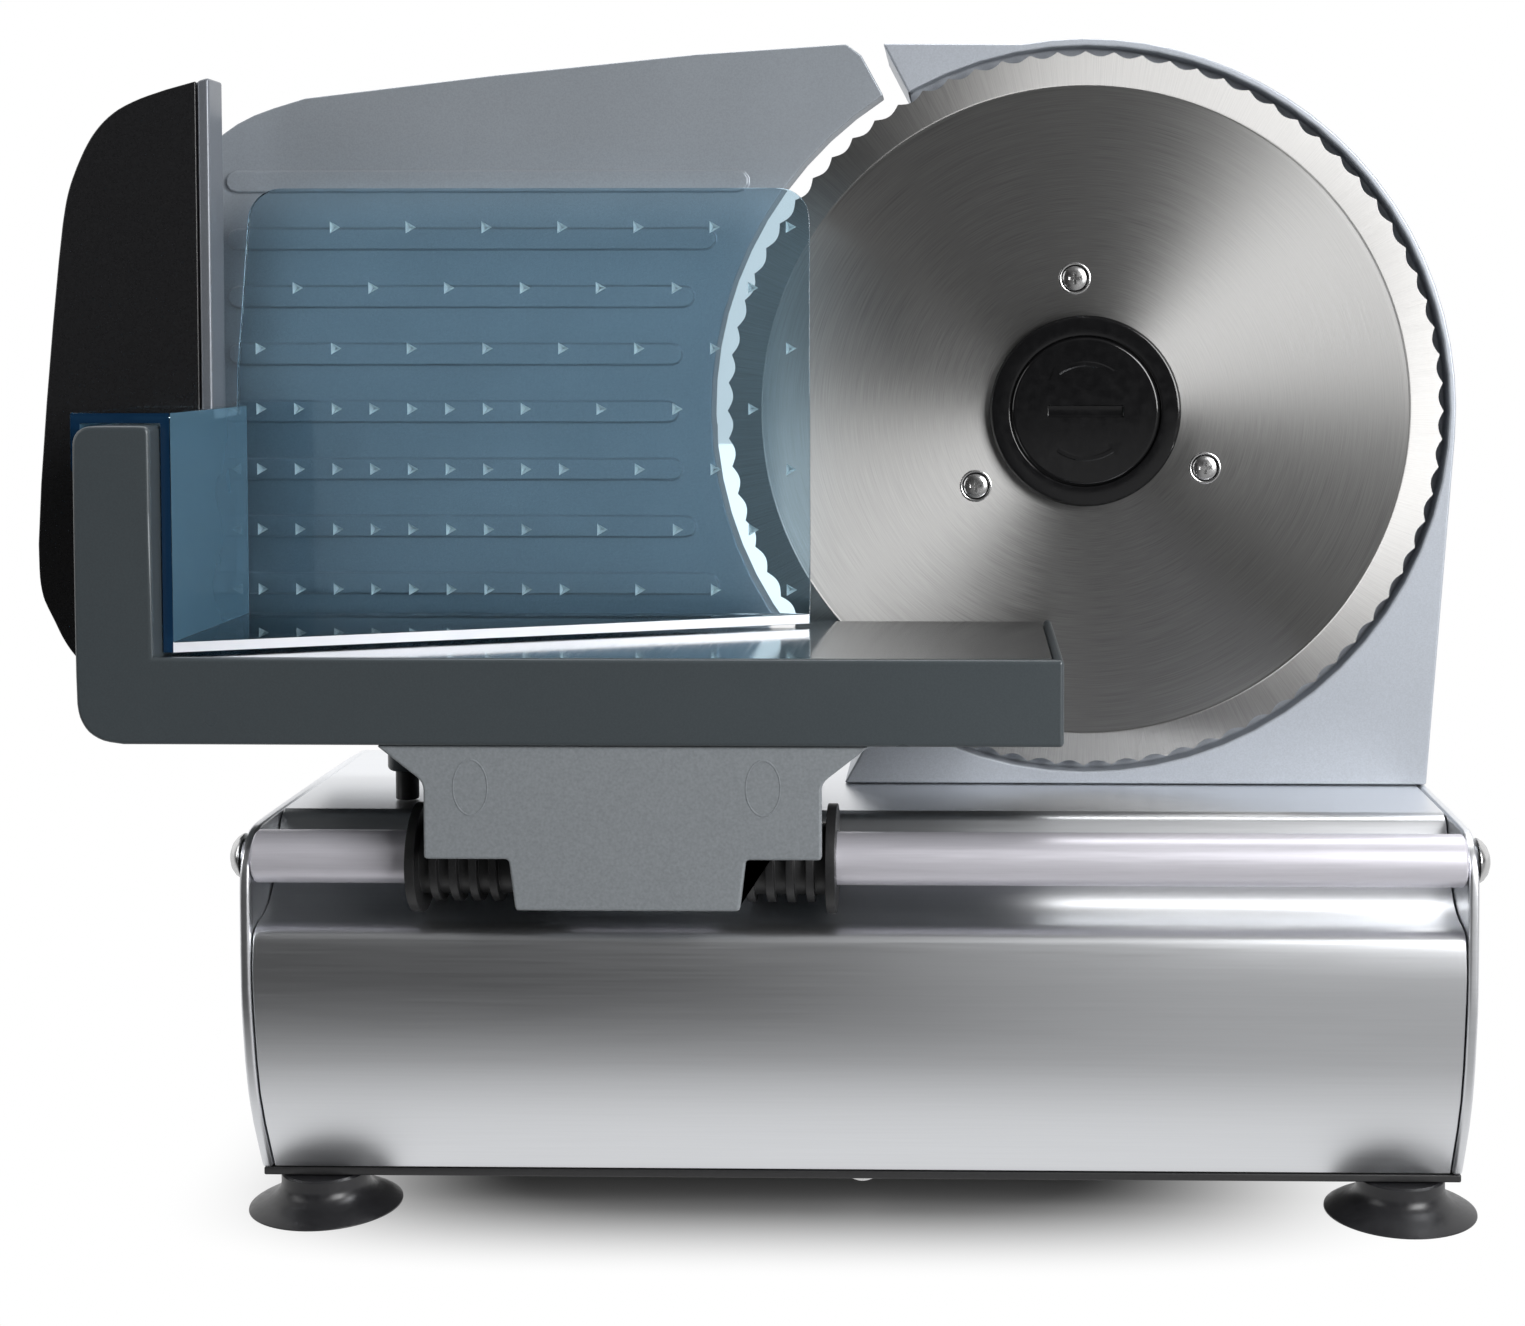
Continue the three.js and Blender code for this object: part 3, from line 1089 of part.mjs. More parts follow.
function sliderBracket() {
  const [block0, block1] = BRACKET_BLOCK;
  const [ear0, ear1] = BRACKET_EARS;
  const top = CARRIAGE_BOTTOM_Z - GAP;
  const shape = outline([
    [ear0 - BRACKET_FLARE, top],
    [ear0, BRACKET_SHOULDER_Z, 2 * BRACKET_ROUND],
    [ear0, BRACKET_EAR_Z, BRACKET_ROUND],
    [block0 - BRACKET_DRAFT, BRACKET_EAR_Z, BRACKET_ROUND],
    [block0, BRACKET_BOTTOM_Z, BRACKET_ROUND],
    [block1, BRACKET_BOTTOM_Z, BRACKET_ROUND],
    [block1 + BRACKET_DRAFT, BRACKET_EAR_Z, BRACKET_ROUND],
    [ear1, BRACKET_EAR_Z, BRACKET_ROUND],
    [ear1, BRACKET_SHOULDER_Z, 2 * BRACKET_ROUND],
    [ear1 + BRACKET_FLARE, top],
  ]);
  const plateY = CARRIAGE_FRONT_Y + BRACKET_PLATE_SETBACK;
  const blockY = [plateY + BRACKET_PLATE_T, BRACKET_BLOCK_BACK_Y];
  const blockX = [block0 + OVERSHOOT, block1 - OVERSHOOT];
  const lower = box(...blockX, blockY[0] - OVERSHOOT, blockY[1], BRACKET_BOTTOM_Z + OVERSHOOT, top);
  const insideY = CARRIAGE_FRONT_Y + LIP_T + GAP;
  const upper = box(...blockX, insideY, blockY[1], top - OVERSHOOT, TRAY_UNDERSIDE_Z - GAP);
  const bore = rod(SLIDER_SLEEVE_R + GAP, block0 - OVERSHOOT, block1 + OVERSHOOT);
  return cut(
    join(frontPlate(shape, plateY, plateY + BRACKET_PLATE_T), lower, upper),
    alongX(bore, RAIL_Y, RAIL_Z, 18),
  );
}

// A ribbed bush from inside the bracket block out to a flange beyond the bracket's ear.
function sliderBush(inner, outer) {
  const way = Math.sign(outer - inner);
  const bore = RAIL_R + RUNNING;
  const profile = [[bore, inner], [SLIDER_SLEEVE_R, inner]];
  const flange = outer - way * SLIDER_FLANGE_T;
  for (let i = SLIDER_RIBS; i >= 1; i--) {
    const rib = flange - way * i * SLIDER_RIB_PITCH;
    profile.push(
      [SLIDER_SLEEVE_R, rib],
      [SLIDER_RIB_R, rib],
      [SLIDER_RIB_R, rib + way * SLIDER_RIB_T],
      [SLIDER_SLEEVE_R, rib + way * SLIDER_RIB_T],
    );
  }
  profile.push(
    [SLIDER_SLEEVE_R, flange],
    [SLIDER_FLANGE_R, flange],
    [SLIDER_FLANGE_R, outer],
    [bore, outer],
    [bore, inner],
  );
  return alongX(profile, RAIL_Y, RAIL_Z, 14);
}

function thumbGuard() {
  const y0 = WALL_BACK_Y + GAP;
  const seam = y0 + GUARD_FACE_T;
  const lowRight = CARRIAGE_LEFT - GAP;
  const side = new THREE.SplineCurve(
    [
      [GUARD_RIGHT, GUARD_TOP_Z],
      ...GUARD_HIGH.map(([x, z]) => [GUARD_LEFT + x, GUARD_TOP_Z - z]),
      ...GUARD_LOW.map(([x, z]) => [GUARD_LEFT + x, GUARD_BOTTOM_Z + z]),
      [lowRight, GUARD_BOTTOM_Z],
    ].map(([x, z]) => new THREE.Vector2(x, z)),
  );
  const edge = side.getPoints(28).map(({ x, y }) => [x, y]);
  const step = LIP_TOP_Z + GAP;
  const shape = outline([...edge, [lowRight, step], [GUARD_RIGHT, step]]);
  const whole = frontPlate(shape, y0, y0 + GUARD_T);
  const stripX = GUARD_RIGHT - GUARD_EDGE;
  const [left0, right1] = [GUARD_LEFT - OVERSHOOT, GUARD_RIGHT + OVERSHOOT];
  const [front, rear] = [y0 - OVERSHOOT, y0 + GUARD_T + OVERSHOOT];
  const top = GUARD_TOP_Z + OVERSHOOT;
  const inFront = box(left0, stripX + GAP, front, seam + GAP, 0, top);
  add("thumb_guard", cut(whole, inFront), SILVER_PLASTIC);
  const strip = box(stripX, right1, front, rear, 0, top);
  const behind = box(left0, right1, seam, rear, 0, top);
  add("thumb_guard_face", cut(whole, strip, behind), BLACK_PLASTIC);
}

function carriage() {
  add("carriage_frame", carriageFrame(), GRAPHITE_PLASTIC);
  const trayX = [WALL_RIGHT + GAP, CARRIAGE_RIGHT - RIM_T - GAP];
  const trayY = [CARRIAGE_FRONT_Y + LIP_T + GAP, CARRIAGE_BACK_Y];
  add("tray_plate", box(...trayX, ...trayY, TRAY_TOP_Z - TRAY_PLATE_T, TRAY_TOP_Z), BRIGHT_STEEL);
  add("slider_bracket", sliderBracket(), SILVER_PLASTIC);
  const [block0, block1] = BRACKET_BLOCK;
  const [ear0, ear1] = BRACKET_EARS;
  add("slider_bush_left", sliderBush(block0 + SLIDER_INSERT, ear0 - SLIDER_OUT[0]), BLACK_PLASTIC);
  add("slider_bush_right", sliderBush(block1 - SLIDER_INSERT, ear1 + SLIDER_OUT[1]), BLACK_PLASTIC);
  ["left", "right"].forEach((side, i) => {
    const peg = rod(GLIDE_R, BASE_TOP_Z + GAP, GLIDE_POST_Z + GLIDE_SOCKET - GAP);
    add(`glide_foot_${side}`, alongZ(peg, GLIDE_AT[i], GLIDE_Y, 16), BLACK_PLASTIC);
  });
  thumbGuard();
}

// Food pusher: a saddle over the carriage wall, a side flange, a spiked plate and a bottom gusset.
function foodPusher() {
  const x0 = WALL_RIGHT + GAP;
  const x1 = x0 + PUSHER_T;
  const z0 = LIP_TOP_Z + GAP;
  const back = PUSHER_FRONT_Y + PUSHER_T;
  const capZ = WALL_TOP_Z + GAP;
  const capTop = capZ + PUSHER_T;
  const legX = CARRIAGE_LEFT - GAP;
  const plate = outline([
    [x0, z0],
    [PUSHER_RIGHT, z0],
    [PUSHER_RIGHT, PUSHER_TOP_Z, PUSHER_CORNER_R],
    [x0 + PUSHER_LEFT_CUT[0], PUSHER_TOP_Z, PUSHER_LEFT_CUT[0]],
    [x0, capTop + PUSHER_LEFT_CUT[1]],
  ]);
  const gusset = outline([
    [x0, SADDLE_FRONT_Y],
    [x1, SADDLE_FRONT_Y],
    [PUSHER_RIGHT, PUSHER_FRONT_Y],
    [PUSHER_RIGHT, back],
    [x0, back],
  ]);
  const saddleY = [SADDLE_FRONT_Y, WALL_BACK_Y];
  const spikeX = x1 + SPIKE_FROM_FLANGE;
  const spikeZ = z0 + SPIKE_FROM_TRAY;
  const columns = 1 + Math.floor((PUSHER_RIGHT - SPIKE_FROM_FLANGE - spikeX) / SPIKE_PITCH_X);
  const rows = 1 + Math.floor((PUSHER_TOP_Z - SPIKE_R - spikeZ) / SPIKE_PITCH_Z);
  const spikes = [];
  for (let row = 0; row < rows; row++) {
    for (let column = 0; column < columns; column++) {
      const dense = row < SPIKE_DENSE_ROWS && column <= SPIKE_DENSE - (row % 2);
      const even = (column + row) % 2 === 0;
      const cornerLeftOut = column < row - SPIKE_DENSE_ROWS;
      if (!(dense || even) || cornerLeftOut) continue;
      const spike = new THREE.ConeGeometry(SPIKE_R, SPIKE_H + PUSHER_T / 2, 3);
      spike.rotateY(Math.PI / 2);
      spike.translate(
        spikeX + column * SPIKE_PITCH_X,
        back + (SPIKE_H - PUSHER_T / 2) / 2,
        spikeZ + row * SPIKE_PITCH_Z,
      );
      spikes.push(solid(spike));
    }
  }
  return join(
    frontPlate(plate, PUSHER_FRONT_Y, back),
    box(x0, x1, SADDLE_FRONT_Y, back, z0, capTop),
    box(legX - PUSHER_T, x1, ...saddleY, capZ, capTop),
    box(legX - PUSHER_T, legX, ...saddleY, SADDLE_LEG_Z, capTop),
    topPlate(gusset, z0, z0 + PUSHER_T),
    ...spikes,
  );
}

// Guide plate: a ribbed face with a skirt behind its edge and two screw bosses.
const CARRIER_PLATE_Y = GUIDE_FACE_Y + GUIDE_T + GUIDE_SKIRT + CARRIER_STANDOFF;
const guideScrews = GUIDE_SCREW_Z.map((z) => [CARRIER_X, z]);

function guidePlate() {
  const topX = HOUSING_CORNER_X - GUIDE_SLOT;
  const slantX = topX + GUIDE_SLOT;
  const slantAngle = 180 - THREE.MathUtils.radToDeg(Math.acos(-slantX / GUIDE_ARC_R));
  const corner = GUIDE_LEFT_ROUND.map(([x, z]) => new THREE.Vector2(GUIDE_LEFT + x, GUIDE_TOP_Z - z));
  const round = new THREE.QuadraticBezierCurve(...corner).getPoints(GUIDE_ROUND_STEPS);
  const points = [
    [GUIDE_LEFT + GUIDE_FOOT_CUT[0], GUIDE_BOTTOM_Z],
    [topX - GUIDE_FOOT_RIGHT, GUIDE_BOTTOM_Z],
    ...arc(0, BLADE_AXIS_Z, GUIDE_ARC_R, 228, slantAngle, 20),
    [topX + OVERSHOOT, GUIDE_TOP_Z - GUIDE_CORNER[1]],
    [topX - GUIDE_CORNER[0], GUIDE_TOP_Z],
    ...GUIDE_TOP_FALL.map(([x, z]) => [topX - x, GUIDE_TOP_Z - z]),
    ...round.map(({ x, y }) => [x, y]),
    [GUIDE_LEFT, GUIDE_BOTTOM_Z + GUIDE_FOOT_CUT[1]],
  ];
  const back = GUIDE_FACE_Y + GUIDE_T;
  const skirtEnd = back + GUIDE_SKIRT;
  const shell = cut(
    frontPlate(outline(points), GUIDE_FACE_Y, skirtEnd),
    frontPlate(outline(offset(points, GUIDE_T, true)), back, skirtEnd + OVERSHOOT),
  );
  const ribs = Array.from({ length: RIB_COUNT }, (_, i) => {
    const z = RIB_FIRST_Z + i * RIB_PITCH;
    const end = -Math.sqrt(RIB_END_R ** 2 - (z - BLADE_AXIS_Z) ** 2);
    const half = RIB_W / 2;
    const rib = outline([
      ...arc(end - half, z, half, -90, 90, RIB_NOSE_STEPS),
      ...arc(GUIDE_LEFT + RIB_START + half, z, half, 90, 270, RIB_NOSE_STEPS),
    ]);
    return frontPlate(rib, GUIDE_FACE_Y - RIB_H, GUIDE_FACE_Y + OVERSHOOT);
  });
  const bosses = guideScrews.map(([x, z]) =>
    alongY(rod(GUIDE_BOSS_R, back - OVERSHOOT, CARRIER_PLATE_Y - GAP), x, z, 16),
  );
  const holes = guideScrews.map(([x, z]) =>
    alongY(rod(GUIDE_SCREW_R + GAP, back + OVERSHOOT, CARRIER_PLATE_Y), x, z, 12),
  );
  return cut(join(shell, ...ribs, ...bosses), ...holes);
}

const PIN_Y = (CARRIER_BLOCK_Y[0] + CARRIER_BLOCK_Y[1]) / 2;
const PIN_Z = CAM_Z + CAM_DRUM_R - CAM_GROOVE_DEPTH + 2 * GAP;
const CAM_BORE_R = CAM_DRUM_R + CAM_BORE_CLEARANCE;
const rodsX = [CARRIER_X - ROD_SPREAD, CARRIER_X + ROD_SPREAD];

function guideCarrier() {
  const [y0, y1] = CARRIER_BLOCK_Y;
  const [z0, z1] = CARRIER_BLOCK_Z;
  const wide = [CARRIER_X - CARRIER_HALF_W, CARRIER_X + CARRIER_HALF_W];
  const stem = [CARRIER_X - CARRIER_STEM_HALF, CARRIER_X + CARRIER_STEM_HALF];
  const armZ = BASE_TOP_Z + CARRIER_ARM_LIFT;
  const plateY1 = CARRIER_PLATE_Y + CARRIER_PLATE_T;
  const through = [y0 - OVERSHOOT, y1 + OVERSHOOT];
  return cut(
    join(
      box(...wide, CARRIER_PLATE_Y, plateY1, armZ, CARRIER_TOP_Z),
      box(...wide, CARRIER_PLATE_Y, y1, armZ, armZ + CARRIER_ARM_T),
      box(...stem, y0, y1, z1 - OVERSHOOT, armZ + OVERSHOOT),
      box(...wide, y0, y1, z0, z1),
    ),
    alongY(rod(CAM_BORE_R, ...through), CARRIER_X, CAM_Z, 20),
    ...rodsX.map((x) => alongY(rod(ROD_R + RUNNING, ...through), x, ROD_Z, 14)),
    ...guideScrews.map(([x, z]) =>
      alongY(rod(GUIDE_SCREW_R + GAP, CARRIER_PLATE_Y - OVERSHOOT, plateY1 + OVERSHOOT), x, z, 12),
    ),
    alongZ(rod(PIN_R + GAP, CAM_Z + CAM_DRUM_R, PIN_Z + PIN_L + GAP), CARRIER_X, PIN_Y, 14),
  );
}

function rodSupport() {
  const half = CARRIER_HALF_W + SUPPORT_SIDE;
  const wide = [CARRIER_X - half, CARRIER_X + half];
  const y1 = SUPPORT_REAR_Y + SUPPORT_T;
  const through = [SUPPORT_FRONT_Y - OVERSHOOT, y1 + OVERSHOOT];
  const rearOnly = [SUPPORT_REAR_Y - OVERSHOOT, y1 + OVERSHOOT];
  return cut(
    join(
      box(...wide, SUPPORT_FRONT_Y, y1, COVER_BOTTOM_Z, COVER_BOTTOM_Z + SUPPORT_T),
      box(...wide, SUPPORT_FRONT_Y, SUPPORT_FRONT_Y + SUPPORT_T, COVER_BOTTOM_Z, SUPPORT_TOP_Z),
      box(...wide, SUPPORT_REAR_Y, y1, COVER_BOTTOM_Z, SUPPORT_TOP_Z),
    ),
    ...rodsX.map((x) => alongY(rod(ROD_R + GAP, ...through), x, ROD_Z, 14)),
    alongY(rod(CAM_NOSE_R + RUNNING, ...through), CARRIER_X, CAM_Z, 20),
    alongY(rod(CAM_SHAFT_R + RUNNING, ...rearOnly), CARRIER_X, CAM_Z, 20),
  );
}

const KNOB_Y = BASE_REAR_Y + GAP + OVERSHOOT;
const CAM_SHAFT_END = KNOB_Y + KNOB_H - KNOB_FACE_T;

// Cam spindle: a drum with one helical groove that carries the follower pin along Y as the knob turns.
function camSpindle() {
  const drum = [SUPPORT_FRONT_Y + SUPPORT_T + OVERSHOOT, SUPPORT_REAR_Y - OVERSHOOT];
  const profile = [
    [0, SUPPORT_FRONT_Y],
    [CAM_NOSE_R, SUPPORT_FRONT_Y],
    [CAM_NOSE_R, drum[0]],
    [CAM_DRUM_R, drum[0]],
    [CAM_DRUM_R, drum[1]],
    [CAM_SHAFT_R, drum[1]],
    [CAM_SHAFT_R, CAM_SHAFT_END],
    [0, CAM_SHAFT_END],
  ];
  const half = PIN_R + PIN_CLEARANCE;
  const floor = CAM_DRUM_R - CAM_GROOVE_DEPTH;
  const ceiling = CAM_DRUM_R + OVERSHOOT;
  const section = [[floor, -half], [ceiling, -half], [ceiling, half], [floor, half]];
  const turns = GUIDE_TRAVEL / CAM_LEAD + 2 * CAM_SPARE_TURN;
  const startTurn = -GUIDE_TRAVEL / CAM_LEAD - CAM_SPARE_TURN;
  const startAngle = -Math.PI / 2 + 2 * Math.PI * startTurn;
  const groove = thread(section, turns, -CAM_LEAD, 24, startAngle, PIN_Y - CAM_LEAD * startTurn);
  groove.rotateX(-Math.PI / 2).translate(CARRIER_X, 0, CAM_Z);
  return cut(alongY(profile, CARRIER_X, CAM_Z, 20), solid(groove));
}

function thicknessKnob() {
  const bore = CAM_SHAFT_R + GAP;
  const skirtTop = KNOB_Y + KNOB_SKIRT_H;
  const skirt = [
    [0, KNOB_Y],
    [KNOB_R, KNOB_Y],
    [KNOB_R, skirtTop - KNOB_EDGE],
    [KNOB_R - KNOB_EDGE, skirtTop],
    [0, skirtTop],
  ];
  const flutes = Array.from({ length: 2 * KNOB_FLUTES }, (_, i) => {
    const r = KNOB_GRIP_R - (i % 2) * KNOB_EDGE;
    const angle = (Math.PI * i) / KNOB_FLUTES;
    return [CARRIER_X + r * Math.cos(angle), CAM_Z + r * Math.sin(angle)];
  });
  return cut(
    join(
      alongY(skirt, CARRIER_X, CAM_Z, 28),
      frontPlate(outline(flutes), skirtTop - OVERSHOOT, KNOB_Y + KNOB_H),
    ),
    alongY(rod(bore, KNOB_Y - OVERSHOOT, CAM_SHAFT_END + GAP), CARRIER_X, CAM_Z, 20),
  );
}

function guide() {
  add("guide_plate", guidePlate(), GREY_PAINT);
  add("guide_carrier", guideCarrier(), GREY_PAINT);
  const face = CARRIER_PLATE_Y + CARRIER_PLATE_T + GAP;
  const length = CARRIER_PLATE_T + GUIDE_SKIRT;
  guideScrews.forEach((at, i) => {
    const screw = crossScrew(at, face, GUIDE_SCREW_HEAD_R, GUIDE_SCREW_HEAD_H, GUIDE_SCREW_R, -length);
    add(`guide_screw_${i + 1}`, screw, SCREW_STEEL);
  });
  add("follower_pin", alongZ(rod(PIN_R, PIN_Z, PIN_Z + PIN_L), CARRIER_X, PIN_Y, 14), BRIGHT_STEEL);
  add("rod_support", rodSupport(), DARK_STEEL);
  ["left", "right"].forEach((side, i) => {
    const bar = rod(ROD_R, SUPPORT_FRONT_Y + GAP, SUPPORT_REAR_Y + SUPPORT_T - GAP);
    add(`guide_rod_${side}`, alongY(bar, rodsX[i], ROD_Z, 14), BRIGHT_STEEL);
  });
  add("cam_spindle", camSpindle(), NYLON);
  add("thickness_knob", thicknessKnob(), BLACK_PLASTIC);
}

// On and off switch in the base's back panel, and the gland where the mains lead goes in.
const ROCKER_TILT = THREE.MathUtils.degToRad(8);
const ROCKER_Y = BASE_REAR_Y - ROCKER_SINK;

function powerSwitch() {
  const bezelY = [BASE_REAR_Y + GAP, BASE_REAR_Y + GAP + SWITCH_BEZEL_T];
  const bezel = [switchHalfX + SWITCH_BEZEL, switchHalfZ + SWITCH_BEZEL];
  const pocket = [switchHalfX - SWITCH_WALL, switchHalfZ - SWITCH_WALL];
  const around = ([x, z], y0, y1) =>
    box(switchX - x, switchX + x, y0, y1, switchZ - z, switchZ + z);
  const pinReach = pocket[0] + SWITCH_WALL / 2;
  const pins = (r, reach) => alongX(rod(r, switchX - reach, switchX + reach), ROCKER_Y, switchZ, 14);
  const body = cut(
    join(around(SWITCH_HALF, BASE_REAR_Y - SWITCH_DEPTH, bezelY[1]), around(bezel, ...bezelY)),
    around(pocket, bezelY[1] - SWITCH_POCKET, bezelY[1] + OVERSHOOT),
    pins(ROCKER_PIN_R + RUNNING, pinReach + GAP),
  );
  add("switch_body", body, BLACK_PLASTIC);

  const reach = pocket[1] - 4 * GAP;
  const section = [
    [-ROCKER_ROOT, -reach + SWITCH_WALL],
    [ROCKER_END, -reach],
    [ROCKER_MIDDLE, 0],
    [ROCKER_END, reach],
    [-ROCKER_ROOT, reach - SWITCH_WALL],
  ];
  const [c, s] = [Math.cos(ROCKER_TILT), Math.sin(ROCKER_TILT)];
  const turned = section.map(([y, z]) => [ROCKER_Y + y * c + z * s, switchZ - y * s + z * c]);
  const half = pocket[0] - GAP;
  const paddle = sidePlate(outline(turned), switchX - half, switchX + half);
  const rocker = join(paddle, pins(ROCKER_PIN_R, pinReach));
  add("switch_rocker", rocker, GLOSS_BLACK);
}

function cordGland() {
  const face = BASE_REAR_Y + GAP;
  const profile = [
    [GLAND_BORE_R, REAR_INSIDE_Y - GLAND_INSIDE],
    [GLAND_R, REAR_INSIDE_Y - GLAND_INSIDE],
    [GLAND_R, face],
    [GLAND_FLANGE_R, face],
    [GLAND_FLANGE_R - GLAND_TAPER, face + GLAND_FLANGE_T],
    [GLAND_BORE_R, face + GLAND_FLANGE_T],
    [GLAND_BORE_R, REAR_INSIDE_Y - GLAND_INSIDE],
  ];
  add("cord_gland", alongY(profile, ...GLAND_AT, 20), BLACK_RUBBER);
}

base();
rail();
housing();
motor();
bladeStack();
carriage();
add("food_pusher", foodPusher(), BLUE_CLEAR);
guide();
powerSwitch();
cordGland();

// The origin is the centre of the footprint, on the worktop.
const whole = new THREE.Box3().setFromObject(slicer);
const middle = whole.getCenter(new THREE.Vector3());
slicer.position.set(-middle.x, -middle.y, -whole.min.z);

export default slicer;
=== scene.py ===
# %% [markdown]
# # An electric food slicer
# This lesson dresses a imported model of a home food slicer. The model holds every piece at its real size,
# and it is loaded as a fixed frame. Here each visible piece gets rounded edges, fine detail and a finish.

# %% Load the frame
import math
import bmesh
import bpy
from mathutils import Matrix, Vector


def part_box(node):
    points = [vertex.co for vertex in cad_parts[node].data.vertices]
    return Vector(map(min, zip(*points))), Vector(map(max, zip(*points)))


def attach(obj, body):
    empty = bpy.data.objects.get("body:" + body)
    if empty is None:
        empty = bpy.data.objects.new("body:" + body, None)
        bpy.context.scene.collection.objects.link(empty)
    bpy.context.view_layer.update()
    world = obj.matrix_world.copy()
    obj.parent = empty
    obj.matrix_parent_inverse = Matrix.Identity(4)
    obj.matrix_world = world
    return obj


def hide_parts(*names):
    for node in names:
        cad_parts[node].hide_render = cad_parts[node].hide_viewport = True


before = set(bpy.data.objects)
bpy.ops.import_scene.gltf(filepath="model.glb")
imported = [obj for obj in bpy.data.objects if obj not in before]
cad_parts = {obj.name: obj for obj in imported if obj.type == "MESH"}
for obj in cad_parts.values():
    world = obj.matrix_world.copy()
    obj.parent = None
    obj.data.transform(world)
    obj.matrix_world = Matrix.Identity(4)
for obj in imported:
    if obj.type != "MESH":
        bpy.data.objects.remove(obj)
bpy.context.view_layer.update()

# %% [markdown]
# A slicer is laid out from its blade. All places below are millimetres to the right of the blade's axis,
# behind the blade's front face and above the worktop, and one helper turns them into the frame's metres.
# The alternative, typing frame coordinates, would hide how the pieces line up with the blade.

# %% Places in millimetres
MM = 0.001
BLADE_LOW, BLADE_HIGH = (Vector(corner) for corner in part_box("blade"))
BLADE_AXIS = (BLADE_LOW + BLADE_HIGH) / 2
FACE_Y = BLADE_LOW.y
AXIS_Z = BLADE_AXIS.z / MM
ALONG_X, ALONG_Y, ALONG_Z = (Vector(axis) for axis in ((1, 0, 0), (0, 1, 0), (0, 0, 1)))


def at(x, y, z):
    """A point given in millimetres from the blade's axis, its front face and the worktop."""
    return Vector((BLADE_AXIS.x + x * MM, FACE_Y + y * MM, z * MM))


def reach(node):
    """A node's lowest and highest corner in the same millimetres."""
    start = at(0, 0, 0)
    return [(Vector(corner) - start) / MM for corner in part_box(node)]


def centre_of(node, **given):
    """The middle of a node's box as a point, with any of x, y and z given instead."""
    middle = {axis: (low + high) / 2 for axis, low, high in zip("xyz", *reach(node))}
    return at(**{**middle, **given})


BLADE_CENTRE = at(0, 0, AXIS_Z)
print("blade axis at", tuple(round(v, 4) for v in BLADE_AXIS))

# %% [markdown]
# Every piece is finished the same way: its faces are turned outwards, its round stretches are shaded
# smooth up to a sharp angle, it takes a material, and it rides on a body so that it moves with the joint.
# A modifier weights the shading by the size of the faces, so that a flat face stays flat beside a small
# bevel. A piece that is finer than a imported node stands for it, and the node is then hidden.

# %% Finish a piece
def piece(name, mesh, finish, body, stands_for=(), sharp=32):
    """Makes a mesh into an object; edges that bend by more than the sharp angle stay hard."""
    bmesh.ops.recalc_face_normals(mesh, faces=mesh.faces)
    data = bpy.data.meshes.new(name)
    mesh.to_mesh(data)
    mesh.free()
    data.shade_smooth()
    data.set_sharp_from_angle(angle=math.radians(sharp))
    data.materials.append(finish)
    thing = bpy.data.objects.new(name, data)
    bpy.context.scene.collection.objects.link(thing)
    even = thing.modifiers.new("even_shading", "WEIGHTED_NORMAL")
    even.keep_sharp = True
    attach(thing, body)
    if stands_for:
        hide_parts(*stands_for)
    print(name, "has", len(data.polygons), "faces")
    return thing


# %% [markdown]
# Three ways of shaping cover this machine. Turned pieces such as feet and screws are a line spun round an
# axis. Plates are a flat outline pulled to a thickness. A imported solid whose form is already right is
# copied, its flat triangles are merged, and its hard edges are bevelled, as a mould or a file would do.

# %% Shape helpers
WELD = 0.002 * MM
FLAT = math.radians(0.5)
CURVE_LEAST, CURVE_MOST = math.radians(5), math.radians(30)
CURVE_CUT = 33


def turned(profile, centre, axis, steps=64):
    """Spins (radius, along) millimetres round an axis through a centre."""
    mesh = bmesh.new()
    across = ALONG_Z if axis != ALONG_Z else ALONG_X
    points = [mesh.verts.new(centre + across * r * MM + axis * a * MM) for r, a in profile]
    lines = [mesh.edges.new(pair) for pair in zip(points, points[1:])]
    bmesh.ops.spin(mesh, geom=points + lines, cent=centre, axis=axis, angle=2 * math.pi, steps=steps,
                   use_merge=True)
    bmesh.ops.remove_doubles(mesh, verts=mesh.verts, dist=WELD)
    return mesh


def thicken(mesh, faces, way):
    """Pulls flat faces along a vector into a solid."""
    pulled = bmesh.ops.extrude_face_region(mesh, geom=faces)["geom"]
    moved = [part for part in pulled if isinstance(part, bmesh.types.BMVert)]
    bmesh.ops.translate(mesh, verts=moved, vec=way)


def slab(outline, thickness, mesh=None):
    """Pulls a flat outline of points along a vector."""
    mesh = mesh or bmesh.new()
    face = mesh.faces.new([mesh.verts.new(point) for point in outline])
    thicken(mesh, [face], thickness)
    return mesh


def soften(mesh, width, segments=3, angle=30, inner=True):
    """Bevels the edges that bend by more than an angle, the inner corners too if asked."""
    limit = math.radians(angle)
    hard = [edge for edge in mesh.edges if edge.is_manifold and edge.calc_face_angle() > limit]
    hard = [edge for edge in hard if inner or edge.is_convex]
    bmesh.ops.bevel(mesh, geom=hard, offset=width * MM, offset_type="OFFSET", segments=segments,
                    profile=0.5, affect="EDGES", material=-1)
    return mesh


def rounder(mesh, shortest=0):
    """Cuts the slight corners of a many-sided curve, so that it has three times as many sides."""
    edges = [edge for edge in mesh.edges if edge.is_manifold]
    slight = [edge for edge in edges if CURVE_LEAST < edge.calc_face_angle() < CURVE_MOST]
    slight = [edge for edge in slight if edge.calc_length() > shortest * MM]
    bmesh.ops.bevel(mesh, geom=slight, offset=CURVE_CUT, offset_type="PERCENT", segments=2, profile=0.5,
                    affect="EDGES", material=-1)
    return mesh


